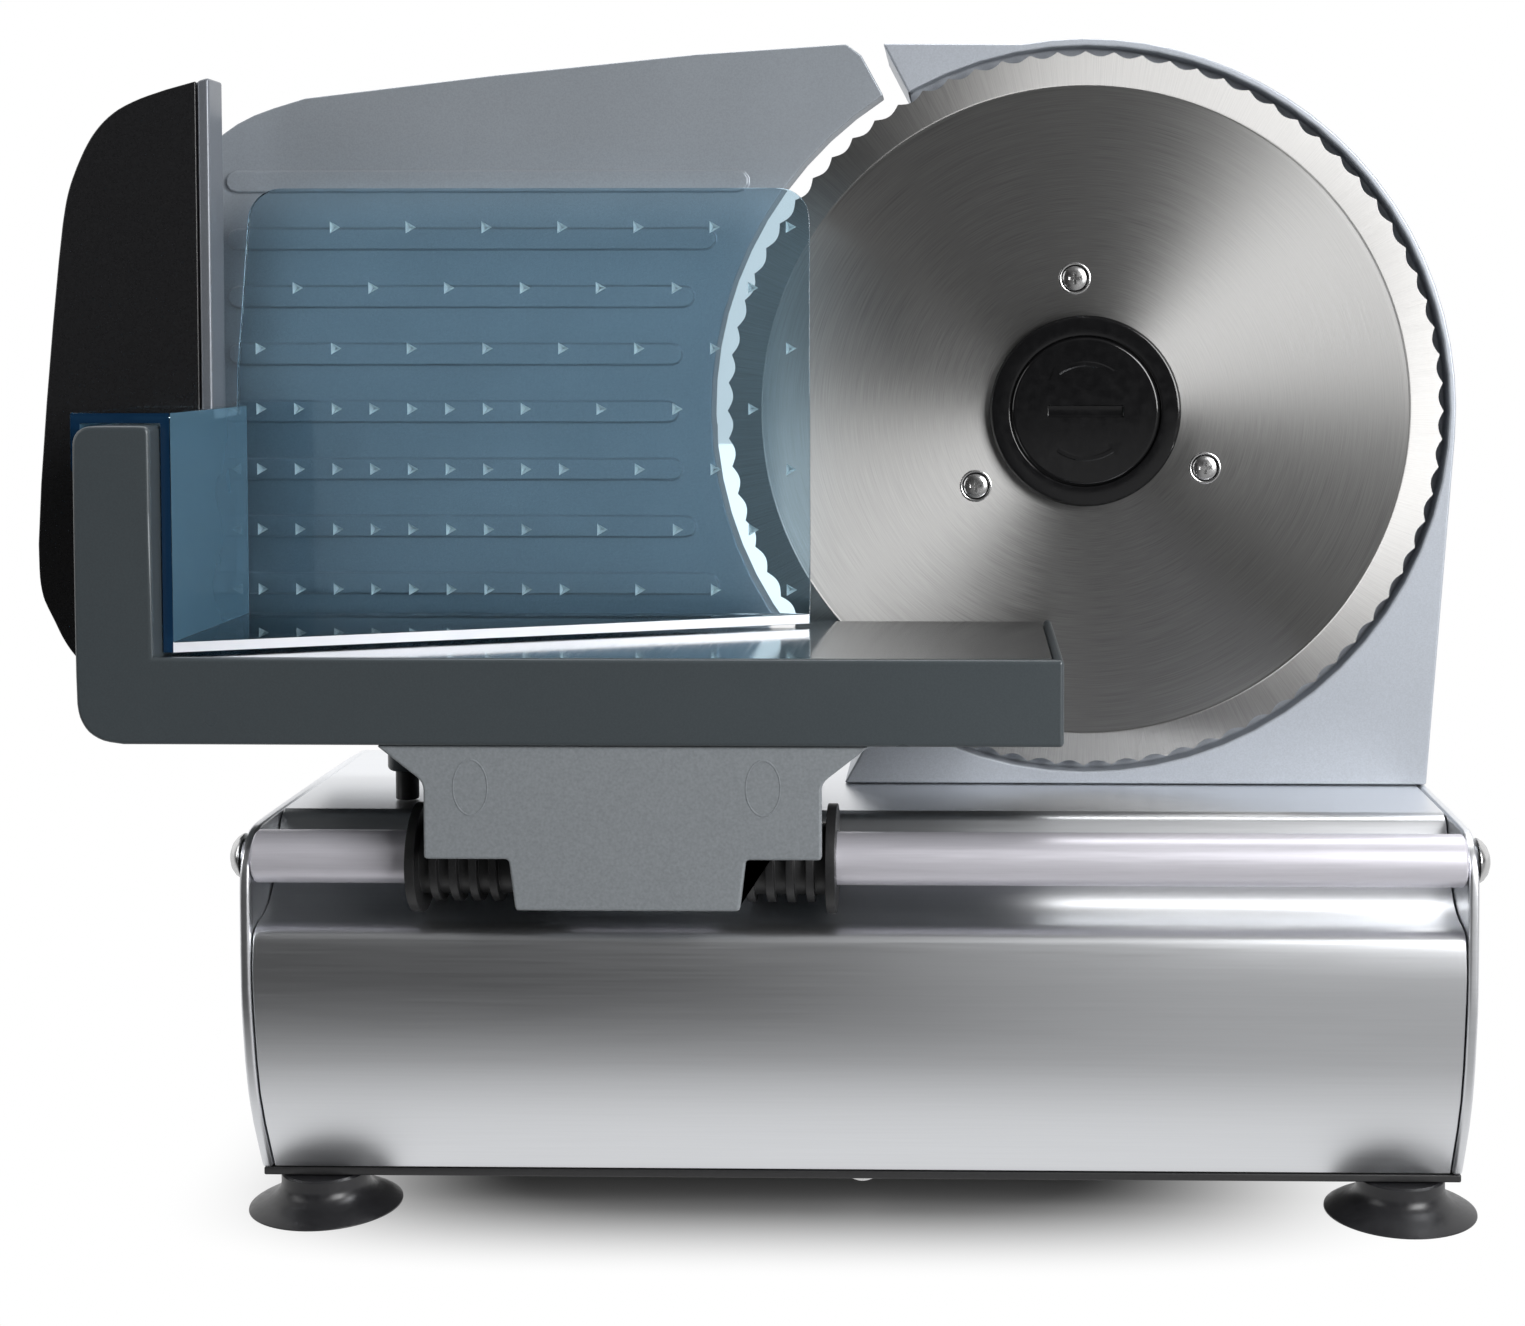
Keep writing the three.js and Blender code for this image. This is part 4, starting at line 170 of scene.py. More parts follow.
def copied(node):
    """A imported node's mesh with its triangles merged into flat faces."""
    mesh = bmesh.new()
    mesh.from_mesh(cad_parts[node].data)
    bmesh.ops.remove_doubles(mesh, verts=mesh.verts, dist=WELD)
    bmesh.ops.dissolve_limit(mesh, angle_limit=FLAT, verts=mesh.verts, edges=mesh.edges)
    return mesh


def combine(mesh, other, operation):
    """Joins two closed meshes or cuts the second out of the first."""
    things = []
    for part in (mesh, other):
        bmesh.ops.recalc_face_normals(part, faces=part.faces)
        data = bpy.data.meshes.new("part")
        part.to_mesh(data)
        part.free()
        things.append(bpy.data.objects.new("part", data))
        bpy.context.scene.collection.objects.link(things[-1])
    change = things[0].modifiers.new("combine", "BOOLEAN")
    change.object = things[1]
    change.solver = "EXACT"
    change.operation = operation
    result = bmesh.new()
    result.from_object(things[0], bpy.context.evaluated_depsgraph_get())
    for thing in things:
        bpy.data.objects.remove(thing)
    return result


def filed(name, node, bevel, finish, body, sharp=32):
    """A piece that copies a node with rounded edges; bevel is its width, segments and angle."""
    piece(name, soften(copied(node), *bevel), finish, body, [node], sharp)


print("helpers ready")

# %% [markdown]
# A finish starts from one shader with its plain values, and grain is added to it: noise in Object
# coordinates, stretched along the way the surface was rolled, brushed or moulded. The same noise moves
# the colour, the roughness and a shallow bump a little, so that no surface is one flat colour.

# %% Finish helpers
NOISE_LOW, NOISE_HIGH = 0.3, 0.7


def finish(name, colour, metallic, roughness):
    """A new material with its node tree and its shader."""
    made = bpy.data.materials.new(name)
    made.use_nodes = True
    shader = made.node_tree.nodes["Principled BSDF"]
    shader.inputs["Base Color"].default_value = (*colour, 1)
    shader.inputs["Metallic"].default_value = metallic
    shader.inputs["Roughness"].default_value = roughness
    return made, made.node_tree, shader


def vector_maths(tree, operation, source, other=None):
    """The outputs of a vector node that is fed by a socket and, if needed, a fixed second vector."""
    made = tree.nodes.new("ShaderNodeVectorMath")
    made.operation = operation
    tree.links.new(source, made.inputs[0])
    if other is not None:
        made.inputs[1].default_value = other
    return made.outputs


def grain(tree, scale, detail=3, vector=None):
    """Noise with a number of grains per metre along each axis."""
    stretch = tree.nodes.new("ShaderNodeMapping")
    stretch.inputs["Scale"].default_value = scale
    noise = tree.nodes.new("ShaderNodeTexNoise")
    noise.inputs["Scale"].default_value = 1
    noise.inputs["Detail"].default_value = detail
    place = vector or tree.nodes.new("ShaderNodeTexCoord").outputs["Object"]
    tree.links.new(place, stretch.inputs["Vector"])
    tree.links.new(stretch.outputs["Vector"], noise.inputs["Vector"])
    return noise.outputs["Fac"]


def vary(tree, value, low, high, socket):
    """Spreads the middle of a noise between two numbers."""
    ramp = tree.nodes.new("ShaderNodeMapRange")
    ramp.inputs["From Min"].default_value = NOISE_LOW
    ramp.inputs["From Max"].default_value = NOISE_HIGH
    ramp.inputs["To Min"].default_value = low
    ramp.inputs["To Max"].default_value = high
    tree.links.new(value, ramp.inputs["Value"])
    tree.links.new(ramp.outputs["Result"], socket)


def tint(tree, value, dark, light, socket):
    """Mixes two colours by a noise."""
    ramp = tree.nodes.new("ShaderNodeValToRGB")
    ramp.color_ramp.elements[0].position = NOISE_LOW
    ramp.color_ramp.elements[0].color = (*dark, 1)
    ramp.color_ramp.elements[1].position = NOISE_HIGH
    ramp.color_ramp.elements[1].color = (*light, 1)
    tree.links.new(value, ramp.inputs["Fac"])
    tree.links.new(ramp.outputs["Color"], socket)


def emboss(tree, value, depth, shader):
    """A bump of a depth in millimetres."""
    bump = tree.nodes.new("ShaderNodeBump")
    bump.inputs["Distance"].default_value = depth * MM
    tree.links.new(value, bump.inputs["Height"])
    tree.links.new(bump.outputs["Normal"], shader.inputs["Normal"])


def shade(colour, factor):
    """A colour made darker or lighter."""
    return tuple(min(1, channel * factor) for channel in colour)


print("finish helpers ready")

# %% [markdown]
# Most surfaces here are one of three kinds. Metal paint is a satin coat with fine flakes. Moulded plastic
# has a faint even grain. Plain metal is rolled, brushed or polished. Each kind is a small function, and
# each part of the machine then gets its own colour of it.

# %% Paint, plastic and metal
def metal_paint(name, colour, metallic, roughness):
    """Paint with fine flakes and faint patches of gloss."""
    made, tree, shader = finish(name, colour, metallic, roughness)
    flakes = grain(tree, (2600, 2600, 2600), 2)
    tint(tree, flakes, shade(colour, 0.93), shade(colour, 1.06), shader.inputs["Base Color"])
    patches = grain(tree, (35, 35, 35), 2)
    vary(tree, patches, roughness - 0.03, roughness + 0.03, shader.inputs["Roughness"])
    emboss(tree, grain(tree, (700, 700, 700), 2), 0.006, shader)
    return made


def moulded(name, colour, roughness, depth=0.012, pitch=1500):
    """Plastic or rubber with an even grain of a depth in millimetres."""
    made, tree, shader = finish(name, colour, 0, roughness)
    pebble = grain(tree, (pitch, pitch, pitch), 3)
    tint(tree, pebble, shade(colour, 0.9), shade(colour, 1.1), shader.inputs["Base Color"])
    vary(tree, pebble, roughness - 0.05, roughness + 0.05, shader.inputs["Roughness"])
    emboss(tree, pebble, depth, shader)
    return made


def plain_metal(name, colour, roughness, lines=(900, 900, 900), depth=0.004, wear=0.05, metallic=1):
    """Bare metal; lines are the grains per metre along each axis, few along the brushing."""
    made, tree, shader = finish(name, colour, metallic, roughness)
    rubbed = grain(tree, lines, 4)
    tint(tree, rubbed, shade(colour, 1 - wear), shade(colour, 1 + wear), shader.inputs["Base Color"])
    vary(tree, rubbed, roughness - wear, roughness + wear, shader.inputs["Roughness"])
    emboss(tree, rubbed, depth, shader)
    return made


HOUSING_PAINT = metal_paint("housing_paint", (0.49, 0.525, 0.58), 0.35, 0.36)
GUIDE_PAINT = metal_paint("guide_paint", (0.335, 0.366, 0.403), 0.35, 0.38)
CARRIAGE_PAINT = metal_paint("carriage_paint", (0.067, 0.08, 0.088), 0.2, 0.3)
BRACKET_PLASTIC = moulded("bracket_plastic", (0.21, 0.228, 0.243), 0.46)
GUARD_SILVER = metal_paint("guard_silver", (0.19, 0.205, 0.23), 0.4, 0.34)
BLACK_SATIN = moulded("black_satin", (0.012, 0.012, 0.013), 0.3, 0.002, 2200)
BLACK_MOULDED = moulded("black_moulded", (0.02, 0.02, 0.021), 0.42)
BLACK_GLOSS = moulded("black_gloss", (0.006, 0.006, 0.0065), 0.12, 0.001, 400)
SOFT_RUBBER = moulded("soft_rubber", (0.017, 0.017, 0.019), 0.34, 0.006, 700)
NYLON = moulded("nylon", (0.72, 0.68, 0.56), 0.45)
WHITE_MARK = moulded("white_mark", (0.78, 0.78, 0.76), 0.5)
SATIN_SHEET = plain_metal("satin_sheet", (0.82, 0.835, 0.86), 0.35, (30, 1800, 1800), 0.0004, 0.015)
RAIL_STEEL = plain_metal("rail_steel", (0.72, 0.705, 0.765), 0.4, (60, 2500, 2500), 0.0006, 0.03, 0.5)
TRAY_STEEL = plain_metal("tray_steel", (0.86, 0.87, 0.88), 0.1, (1500, 40, 40), 0.0006, 0.03)
SCREW_STEEL = plain_metal("screw_steel", (0.66, 0.66, 0.66), 0.24)
DARK_STEEL = plain_metal("dark_steel", (0.3, 0.31, 0.32), 0.42)
BRONZE = plain_metal("bronze", (0.6, 0.4, 0.19), 0.36)
COPPER = plain_metal("copper", (0.68, 0.35, 0.18), 0.36)
print(len(bpy.data.materials), "materials so far")

# %% [markdown]
# The blade is brushed while it turns, so its scratches are circles and its highlights are fans that open
# from the hub. The shader stretches highlights along a tangent, and on the face that tangent points away
# from the axis; on the ground bevel it runs round. The scratches are noise that changes fast with the
# radius and slowly round the blade, or the other way about on the bevel.

# %% Blade steel
def blade_steel(name, colour, roughness, stretch, radial, round_the_blade, strokes="round"):
    """Steel with strokes round the blade's axis or outwards from it."""
    made, tree, shader = finish(name, colour, 1, roughness)
    shader.inputs["Anisotropic"].default_value = stretch
    place = tree.nodes.new("ShaderNodeTexCoord").outputs["Object"]
    away = vector_maths(tree, "SUBTRACT", place, BLADE_AXIS)["Vector"]
    flat = vector_maths(tree, "MULTIPLY", away, (1, 0, 1))["Vector"]
    direction = vector_maths(tree, "NORMALIZE", flat)["Vector"]
    distance = vector_maths(tree, "LENGTH", flat)["Value"]
    across = vector_maths(tree, "CROSS_PRODUCT", direction, ALONG_Y)["Vector"]
    tree.links.new(direction if strokes == "round" else across, shader.inputs["Tangent"])
    parts = tree.nodes.new("ShaderNodeSeparateXYZ")
    polar = tree.nodes.new("ShaderNodeCombineXYZ")
    tree.links.new(direction, parts.inputs["Vector"])
    tree.links.new(distance, polar.inputs["X"])
    tree.links.new(parts.outputs["X"], polar.inputs["Y"])
    tree.links.new(parts.outputs["Z"], polar.inputs["Z"])
    scratch = grain(tree, (radial, round_the_blade, round_the_blade), 4, polar.outputs["Vector"])
    tint(tree, scratch, shade(colour, 0.8), shade(colour, 1.12), shader.inputs["Base Color"])
    vary(tree, scratch, roughness - 0.05, roughness + 0.07, shader.inputs["Roughness"])
    emboss(tree, scratch, 0.004, shader)
    return made


BLADE_FACE = blade_steel("blade_face", (0.4, 0.398, 0.393), 0.52, 0.97, 5200, 5)
BLADE_GROUND = blade_steel("blade_ground", (0.4, 0.396, 0.39), 0.5, 0.95, 80, 420, "outwards")
print("blade finishes ready")

# %% [markdown]
# The food pusher is clear plastic tinted blue. Its sheets let the light through with a tint. Its cut edges
# are another matter: those that face the camera look into the length of a sheet and are navy, the foot's
# edge catches a lamp and is nearly white, and the little spikes scatter light. The flange is seen almost
# along its sheet, so its side is darker. Each gets its own mix, and in these mixes that light is painted:
# painted shade on the front edges and the flange's side, a painted highlight on the foot's edge, and a
# painted glint on the spikes, which are milky white where the real ones are clear.

# %% Clear blue plastic
PLASTIC_IOR = 1.46


def clear_plastic(name, colour, roughness, clear):
    """Plastic of which a share is clear, with a faint haze."""
    made, tree, shader = finish(name, colour, 0, roughness)
    shader.inputs["Transmission Weight"].default_value = clear
    shader.inputs["IOR"].default_value = PLASTIC_IOR
    haze = grain(tree, (60, 60, 60), 2)
    vary(tree, haze, roughness, roughness + 0.02, shader.inputs["Roughness"])
    tint(tree, haze, shade(colour, 0.97), shade(colour, 1.02), shader.inputs["Base Color"])
    return made


PUSHER_BLUE = clear_plastic("pusher_blue", (0.52, 0.67, 0.76), 0.015, 1)
# The next four mixes are painted light: a painted glint on the spikes, painted shade on the front edges, a
# painted highlight on the foot's edge and painted shade on the flange's side.
PUSHER_SPIKE_PAINTED_GLINT = clear_plastic("pusher_spike_painted_glint", (0.9, 0.97, 1), 0.3, 0)
PUSHER_PAINTED_DARK_EDGE = clear_plastic("pusher_painted_dark_edge", (0.006, 0.03, 0.075), 0.1, 0.25)
PUSHER_PAINTED_SHADE_SIDE = clear_plastic("pusher_painted_shade_side", (0.085, 0.175, 0.25), 0.06, 0.3)
PUSHER_PAINTED_HIGHLIGHT = clear_plastic("pusher_painted_highlight", (0.85, 0.87, 0.92), 0.25, 0.1)
print("pusher finishes ready")

# %% [markdown]
# The blade is a disc with eighty hollow scallops that meet in points, a ground bevel behind them and a
# shallow groove where the bevel starts. Its section is spun once round the axis, with eight steps to a
# scallop, and the rim is then pulled in along a half sine between the points. The sinks for the screws
# are cut last, and points that the cuts leave very close together are merged.

# %% Blade
BLADE_R = (BLADE_HIGH.x - BLADE_LOW.x) / 2 / MM
BLADE_T = 1.5
EDGE_T = 0.12
BORE_R = 13.3
BEVEL_R = BLADE_R - 8.7
BEVEL_FALL = (BLADE_T - EDGE_T) / (BLADE_R - BEVEL_R)
GROOVE_DEPTH = 0.16
SCALLOPS = 80
SCALLOP_STEPS = 8
SCALLOP_DEPTH = 1.4
RIM_W = 0.5
SINK = [(0, -1), (4.1, -1), (4.1, 0), (3.6, 0.5), (3.6, 2), (0, 2)]
SLIVER = 0.04
SCREW_PLACES = [centre_of(f"blade_screw_{number}", y=0) for number in (1, 2, 3)]
blade = turned([
    (BORE_R, 0), (BEVEL_R - 1.9, 0), (BEVEL_R - 1.4, GROOVE_DEPTH), (BEVEL_R - 0.7, GROOVE_DEPTH),
    (BEVEL_R - 0.4, 0), (BEVEL_R, 0), (BLADE_R, BLADE_T - EDGE_T), (BLADE_R, BLADE_T),
    (BEVEL_R, BLADE_T), (BORE_R, BLADE_T), (BORE_R, 0),
], BLADE_CENTRE, ALONG_Y, SCALLOPS * SCALLOP_STEPS)
for point in blade.verts:
    spoke = point.co - BLADE_CENTRE
    behind_face = spoke.y
    spoke.y = 0
    if spoke.length > (BLADE_R - RIM_W) * MM:
        turn = math.atan2(spoke.z, spoke.x) / (2 * math.pi) * SCALLOPS
        pull = SCALLOP_DEPTH * MM * math.sin(math.pi * (turn % 1))
        point.co -= spoke.normalized() * pull
        if behind_face < (BLADE_T - EDGE_T / 2) * MM:
            point.co.y -= pull * BEVEL_FALL
for place in SCREW_PLACES:
    blade = combine(blade, turned(SINK, place, ALONG_Y, 40), "DIFFERENCE")
bmesh.ops.remove_doubles(blade, verts=blade.verts, dist=SLIVER * MM)
blade_piece = piece("serrated_blade", blade, BLADE_FACE, "blade", ["blade"], 20)
blade_piece.data.materials.append(BLADE_GROUND)
for face in blade_piece.data.polygons:
    away = face.center - BLADE_CENTRE
    away.y = 0
    if away.length > (BEVEL_R - RIM_W) * MM:
        face.material_index = 1

# %% [markdown]
# Three cross-head screws hold the blade to its carrier, each in a pressed ring. The head is a low dome,
# turned, and the cross is cut out of it with two bars that narrow towards the bottom.

# %% Blade screws
CROSS_HALF = 2.1
CROSS_W = 0.5
CROSS_TAPER = 0.6
CROSS_DEPTH = 0.75
SHANK_R = 1.5
SCREW_DOME = [(0, 0), (0.6, 0.05), (0.84, 0.2), (0.96, 0.45), (1, 0.75), (1, 1)]
RING = [(3.62, 0.3), (3.62, -0.05), (3.8, -0.16), (4.05, -0.16), (4.25, -0.04), (4.3, 0.1), (3.62, 0.3)]


def cross_cutter(centre, way, depth):
    """A cross that narrows towards its bottom, for a cut along Y."""
    arm = [(CROSS_HALF, CROSS_W), (CROSS_W, CROSS_W), (CROSS_W, CROSS_HALF)]
    arm_left = [(-x, z) for x, z in reversed(arm)]
    plus = arm + arm_left + [(x, -z) for x, z in reversed(arm + arm_left)]
    top = centre - ALONG_Y * way * MM
    cutter = slab([top + Vector((x, 0, z)) * MM for x, z in plus], ALONG_Y * way * (1 + depth) * MM)
    deep = [v for v in cutter.verts if (v.co - centre).y * way > 0]
    narrow = (CROSS_TAPER, 1, CROSS_TAPER)
    bmesh.ops.scale(cutter, verts=deep, vec=narrow, space=Matrix.Translation(-centre))
    return cutter


def cross_screw(name, node, body, head_r, head_h, way, sunk=0):
    """A dome-headed screw in a node's place; way is 1 where it is driven towards the back."""
    low, high = reach(node)
    centre = centre_of(node, y=(low.y if way > 0 else high.y) + way * sunk)
    length = high.y - low.y - sunk
    profile = [(r * head_r, a * head_h) for r, a in SCREW_DOME]
    profile += [(SHANK_R, head_h), (SHANK_R, length), (0, length)]
    screw = turned([(r, way * a) for r, a in profile], centre, ALONG_Y, 40)
    screw = combine(screw, cross_cutter(centre, way, CROSS_DEPTH * head_h), "DIFFERENCE")
    piece(name, screw, SCREW_STEEL, body, [node])


for number, place in enumerate(SCREW_PLACES, 1):
    cross_screw(f"blade_screw_head_{number}", f"blade_screw_{number}", "blade", 3.3, 1.1, 1, 0.7)
    ring = turned(RING, place, ALONG_Y, 40)
    piece(f"blade_screw_ring_{number}", ring, SCREW_STEEL, "blade", ())

# %% [markdown]
# The hub is a glossy black ring round the blade lock, a disc with a coin slot. Both are turned with
# rounded rims, which catch the light as thin bright circles. The slot is cut with a rounded bar, and two
# plain curved arrows in relief show which way the lock turns.

# %% Hub and lock
HUB_R = 25.3
HUB_BORE = 5.3
HUB_NECK = 13
HUB_WELL = 19.9
WELL_Y = -0.7
HUB_FRONT, HUB_BACK = (corner.y for corner in reach("blade_hub"))
hub = turned([
    (HUB_BORE, WELL_Y), (HUB_WELL, WELL_Y), (HUB_WELL, HUB_FRONT + 0.5), (20.1, HUB_FRONT + 0.15),
    (20.6, HUB_FRONT), (24, HUB_FRONT), (24.7, HUB_FRONT + 0.2), (25.15, HUB_FRONT + 0.7),
    (HUB_R, HUB_FRONT + 1.3), (HUB_R, -0.3), (HUB_NECK, -0.3), (HUB_NECK, HUB_BACK),
    (HUB_BORE, HUB_BACK), (HUB_BORE, WELL_Y),
], BLADE_CENTRE, ALONG_Y, 96)
piece("hub_ring", hub, BLACK_GLOSS, "blade", ["blade_hub"])

LOCK_R = 19.6
LOCK_NECK = 5
LOCK_Y = -1.1
SLOT_HALF = 10.2
SLOT_W = 3.2
SLOT_CUT = 2.2
lock = turned([
    (0, HUB_FRONT + 0.25), (18.6, HUB_FRONT + 0.25), (19.1, HUB_FRONT + 0.35), (LOCK_R, HUB_FRONT + 0.8),
    (LOCK_R, LOCK_Y), (LOCK_NECK, LOCK_Y), (LOCK_NECK, HUB_BACK), (0, HUB_BACK),
], BLADE_CENTRE, ALONG_Y, 96)
slot_bar = slab([at(x, HUB_FRONT - 1, AXIS_Z + z) for x, z in (
    (-SLOT_HALF, -SLOT_W / 2), (SLOT_HALF, -SLOT_W / 2), (SLOT_HALF, SLOT_W / 2), (-SLOT_HALF, SLOT_W / 2),
)], ALONG_Y * SLOT_CUT * MM)
lock = combine(lock, soften(slot_bar, 0.5, 3), "DIFFERENCE")
piece("lock_disc", lock, BLACK_GLOSS, "blade_lock", ["blade_lock"])

ARROW_R = 12.5
ARROW_W = 0.8
ARROW_H = 0.3
ARROW_SPAN = 70
ARROW_HEAD = 1.7
ARROW_POINT = 0.24
section = [(ARROW_R - ARROW_W, ARROW_H), (ARROW_R + ARROW_W, ARROW_H),
           (ARROW_R + ARROW_W / 2, 0), (ARROW_R - ARROW_W / 2, 0)]
head = [(ARROW_R - ARROW_HEAD, 0), (ARROW_R + ARROW_HEAD, 0), (ARROW_R, ARROW_POINT)]
for name, side in (("lock_arrow_top", 1), ("lock_arrow_bottom", -1)):
    start = math.radians(90 * side - ARROW_SPAN / 2)
    relief = bmesh.new()
    corners = [at(r * math.cos(start), HUB_FRONT + y, AXIS_Z + r * math.sin(start)) for r, y in section]
    strip = relief.faces.new([relief.verts.new(corner) for corner in corners])
    bmesh.ops.spin(relief, geom=[strip], cent=BLADE_CENTRE, axis=-ALONG_Y,
                   angle=math.radians(ARROW_SPAN), steps=16)
    tip = start + math.radians(ARROW_SPAN)
    slab([at(r * math.cos(tip + a), HUB_FRONT, AXIS_Z + r * math.sin(tip + a)) for r, a in head],
         ALONG_Y * ARROW_H * MM, relief)
    piece(name, relief, BLACK_GLOSS, "blade_lock", ())

# %% [markdown]
# The blade housing and the gear cover are pressed and painted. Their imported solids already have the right
# outline, so they are copied and their edges rounded. The housing's edges are wider, as on a casting.

# %% Housing and gear cover
filed("painted_housing", "blade_housing", (0.6, 3, 35), HOUSING_PAINT, "base")
filed("painted_gear_cover", "gear_cover", (0.5, 3, 35), HOUSING_PAINT, "base")
for number in (1, 2, 3):
    cross_screw(f"gear_cover_screw_head_{number}", f"gear_cover_screw_{number}", "base", 3.6, 1.6, -1)

# %% [markdown]
# The guide plate is a stamped plate with eight soft ribs that end in round noses. A bevel of about a third
# of a rib's height turns the sharp packed ribs into stamped ones, and also rounds the plate's rim.

# %% Guide plate
filed("ribbed_guide", "guide_plate", (0.45, 4, 35), GUIDE_PAINT, "guide", 40)
filed("guide_bracket", "guide_carrier", (0.6, 2, 35), GUIDE_PAINT, "guide")
for number in (1, 2):
    cross_screw(f"guide_screw_head_{number}", f"guide_screw_{number}", "guide", 4, 2, -1)

# %% [markdown]
# The base is one bent sheet between two end plates, on a black bottom plate. A satin sheet shows its form
# only through its reflections, so the bends are shaded smooth and just the cut edges are rounded. The end
# plates follow the sheet's curve, and their many-sided rims are made rounder first.

# %% Base
filed("base_sheet", "base_cover", (0.3, 2, 55), SATIN_SHEET, "base", 50)
for side in ("left", "right"):
    end = soften(rounder(copied(f"{side}_end_plate")), 0.8, 3, 35)
    piece(f"{side}_end", end, SATIN_SHEET, "base", [f"{side}_end_plate"])
filed("bottom_tray", "bottom_plate", (0.4, 2, 35), BLACK_MOULDED, "base")

# %% [markdown]
# Four rubber suction feet carry the machine. Each is turned: a hollow cup, a thin flared skirt and a short
# neck. The skirt's curve is what shows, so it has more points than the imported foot.

# %% Suction feet
NECK_TOP = reach("bottom_plate")[0].z - 0.3
STUD_TOP = reach("suction_foot_front_left")[1].z
STUD_R = 3
FOOT = [
    (0, 3), (9.5, 2.4), (14, 1.2), (17, 0.1), (17.6, 0), (18.6, 0), (19, 0.2), (18.95, 0.5), (18, 1.1),
    (16.4, 1.9), (14.6, 2.6), (13, 3.4), (11.9, 4.3), (11.2, 5.4), (11, 6.6), (11, NECK_TOP - 0.5),
    (10.5, NECK_TOP), (STUD_R, NECK_TOP), (STUD_R, STUD_TOP), (0, STUD_TOP),
]
for place in ("front_left", "front_right", "rear_left", "rear_right"):
    cup = turned(FOOT, centre_of(f"suction_foot_{place}", z=0), ALONG_Z, 72)
    piece(f"suction_cup_{place}", cup, SOFT_RUBBER, "base", [f"suction_foot_{place}"], 40)

# %% [markdown]
# The carriage runs on one polished rail that a domed screw holds at each end. Rail and screws are turned
# along X with small chamfers, so that the rail's ends show a bright line against the end plates. The one
# screw that shows under the base is turned in the same way, upright.

# %% Rail and its screws
RAIL_LOW, RAIL_HIGH = reach("guide_rail")
RAIL_AXIS = centre_of("guide_rail", x=0)
RAIL_R = (RAIL_HIGH.z - RAIL_LOW.z) / 2
CHAMFER = 0.5
TAP_R = 3.3
TAP_DEPTH = 12
rail = turned([
    (0, RAIL_LOW.x + TAP_DEPTH), (TAP_R, RAIL_LOW.x + TAP_DEPTH), (TAP_R, RAIL_LOW.x),
    (RAIL_R - CHAMFER, RAIL_LOW.x), (RAIL_R, RAIL_LOW.x + CHAMFER),
    (RAIL_R, RAIL_HIGH.x - CHAMFER), (RAIL_R - CHAMFER, RAIL_HIGH.x),
    (TAP_R, RAIL_HIGH.x), (TAP_R, RAIL_HIGH.x - TAP_DEPTH), (0, RAIL_HIGH.x - TAP_DEPTH),
], RAIL_AXIS, ALONG_X, 72)
piece("polished_rail", rail, RAIL_STEEL, "base", ["guide_rail"])
DOME = [(0, 0), (2, 0.25), (3.6, 0.9), (4.8, 1.9), (5.4, 2.8), (5.5, 3.2), (3, 3.2), (3, 15.2), (0, 15.2)]
for side, way in (("left", 1), ("right", -1)):
    low, high = reach(f"rail_screw_{side}")
    start = low.x if way > 0 else high.x
    dome = turned([(r, start + way * a) for r, a in DOME], RAIL_AXIS, ALONG_X, 40)
    piece(f"rail_dome_{side}", dome, SCREW_STEEL, "base", [f"rail_screw_{side}"])
low, high = reach("bottom_screw")
length = high.z - low.z
PAN = [(0, 0), (2.2, 0.25), (3.5, 0.9), (4, 1.8), (2, 1.8), (2, length), (0, length)]
pan = turned(PAN, centre_of("bottom_screw", z=low.z), ALONG_Z, 40)
piece("bottom_screw_head", pan, SCREW_STEEL, "base", ["bottom_screw"])

# %% [markdown]
# The carriage frame is one moulding with a wall on the left, a lip in front and a rim on the right. Its
# copy gets a wide bevel on its outer corners, because the photograph shows bright lines along every edge
# of the lip. Only the long edges of its curves are made rounder.

# %% Carriage and tray
LONG_EDGE = 20
moulding = soften(rounder(copied("carriage_frame"), LONG_EDGE), 1, 4, 40, inner=False)
piece("carriage_moulding", moulding, CARRIAGE_PAINT, "carriage", ["carriage_frame"])
filed("mirror_tray", "tray_plate", (0.25, 2, 40), TRAY_STEEL, "carriage")

# %% [markdown]
# Under the lip hangs the slider bracket, a plain grey moulding with two faint oval marks from its mould.
# The ovals are thin turned rings, narrowed sideways with a scale about their own middle.

# %% Slider bracket
filed("bracket_moulding", "slider_bracket", (0.7, 3, 40), BRACKET_PLASTIC, "carriage")
BRACKET_FRONT = reach("slider_bracket")[0].y
MARK = [(6.2, 0.02), (6.35, -0.12), (6.65, -0.12), (6.8, 0.02), (6.2, 0.02)]
MARK_NARROW = 0.62
MARK_Z = 114.5
for name, x in (("mould_mark_left", -147.5), ("mould_mark_right", -79)):
    centre = at(x, BRACKET_FRONT, MARK_Z)
    oval = turned(MARK, centre, ALONG_Y, 48)
    bmesh.ops.scale(oval, verts=oval.verts, vec=(MARK_NARROW, 1, 1), space=Matrix.Translation(-centre))
    piece(name, oval, BRACKET_PLASTIC, "carriage", ())

# %% [markdown]
# Two black ribbed bushes slide on the rail. Each is a sleeve with four ribs and a wide flange, turned
# along X. The ribs are worked out by a loop from their pitch, and a small bevel rounds their rims.

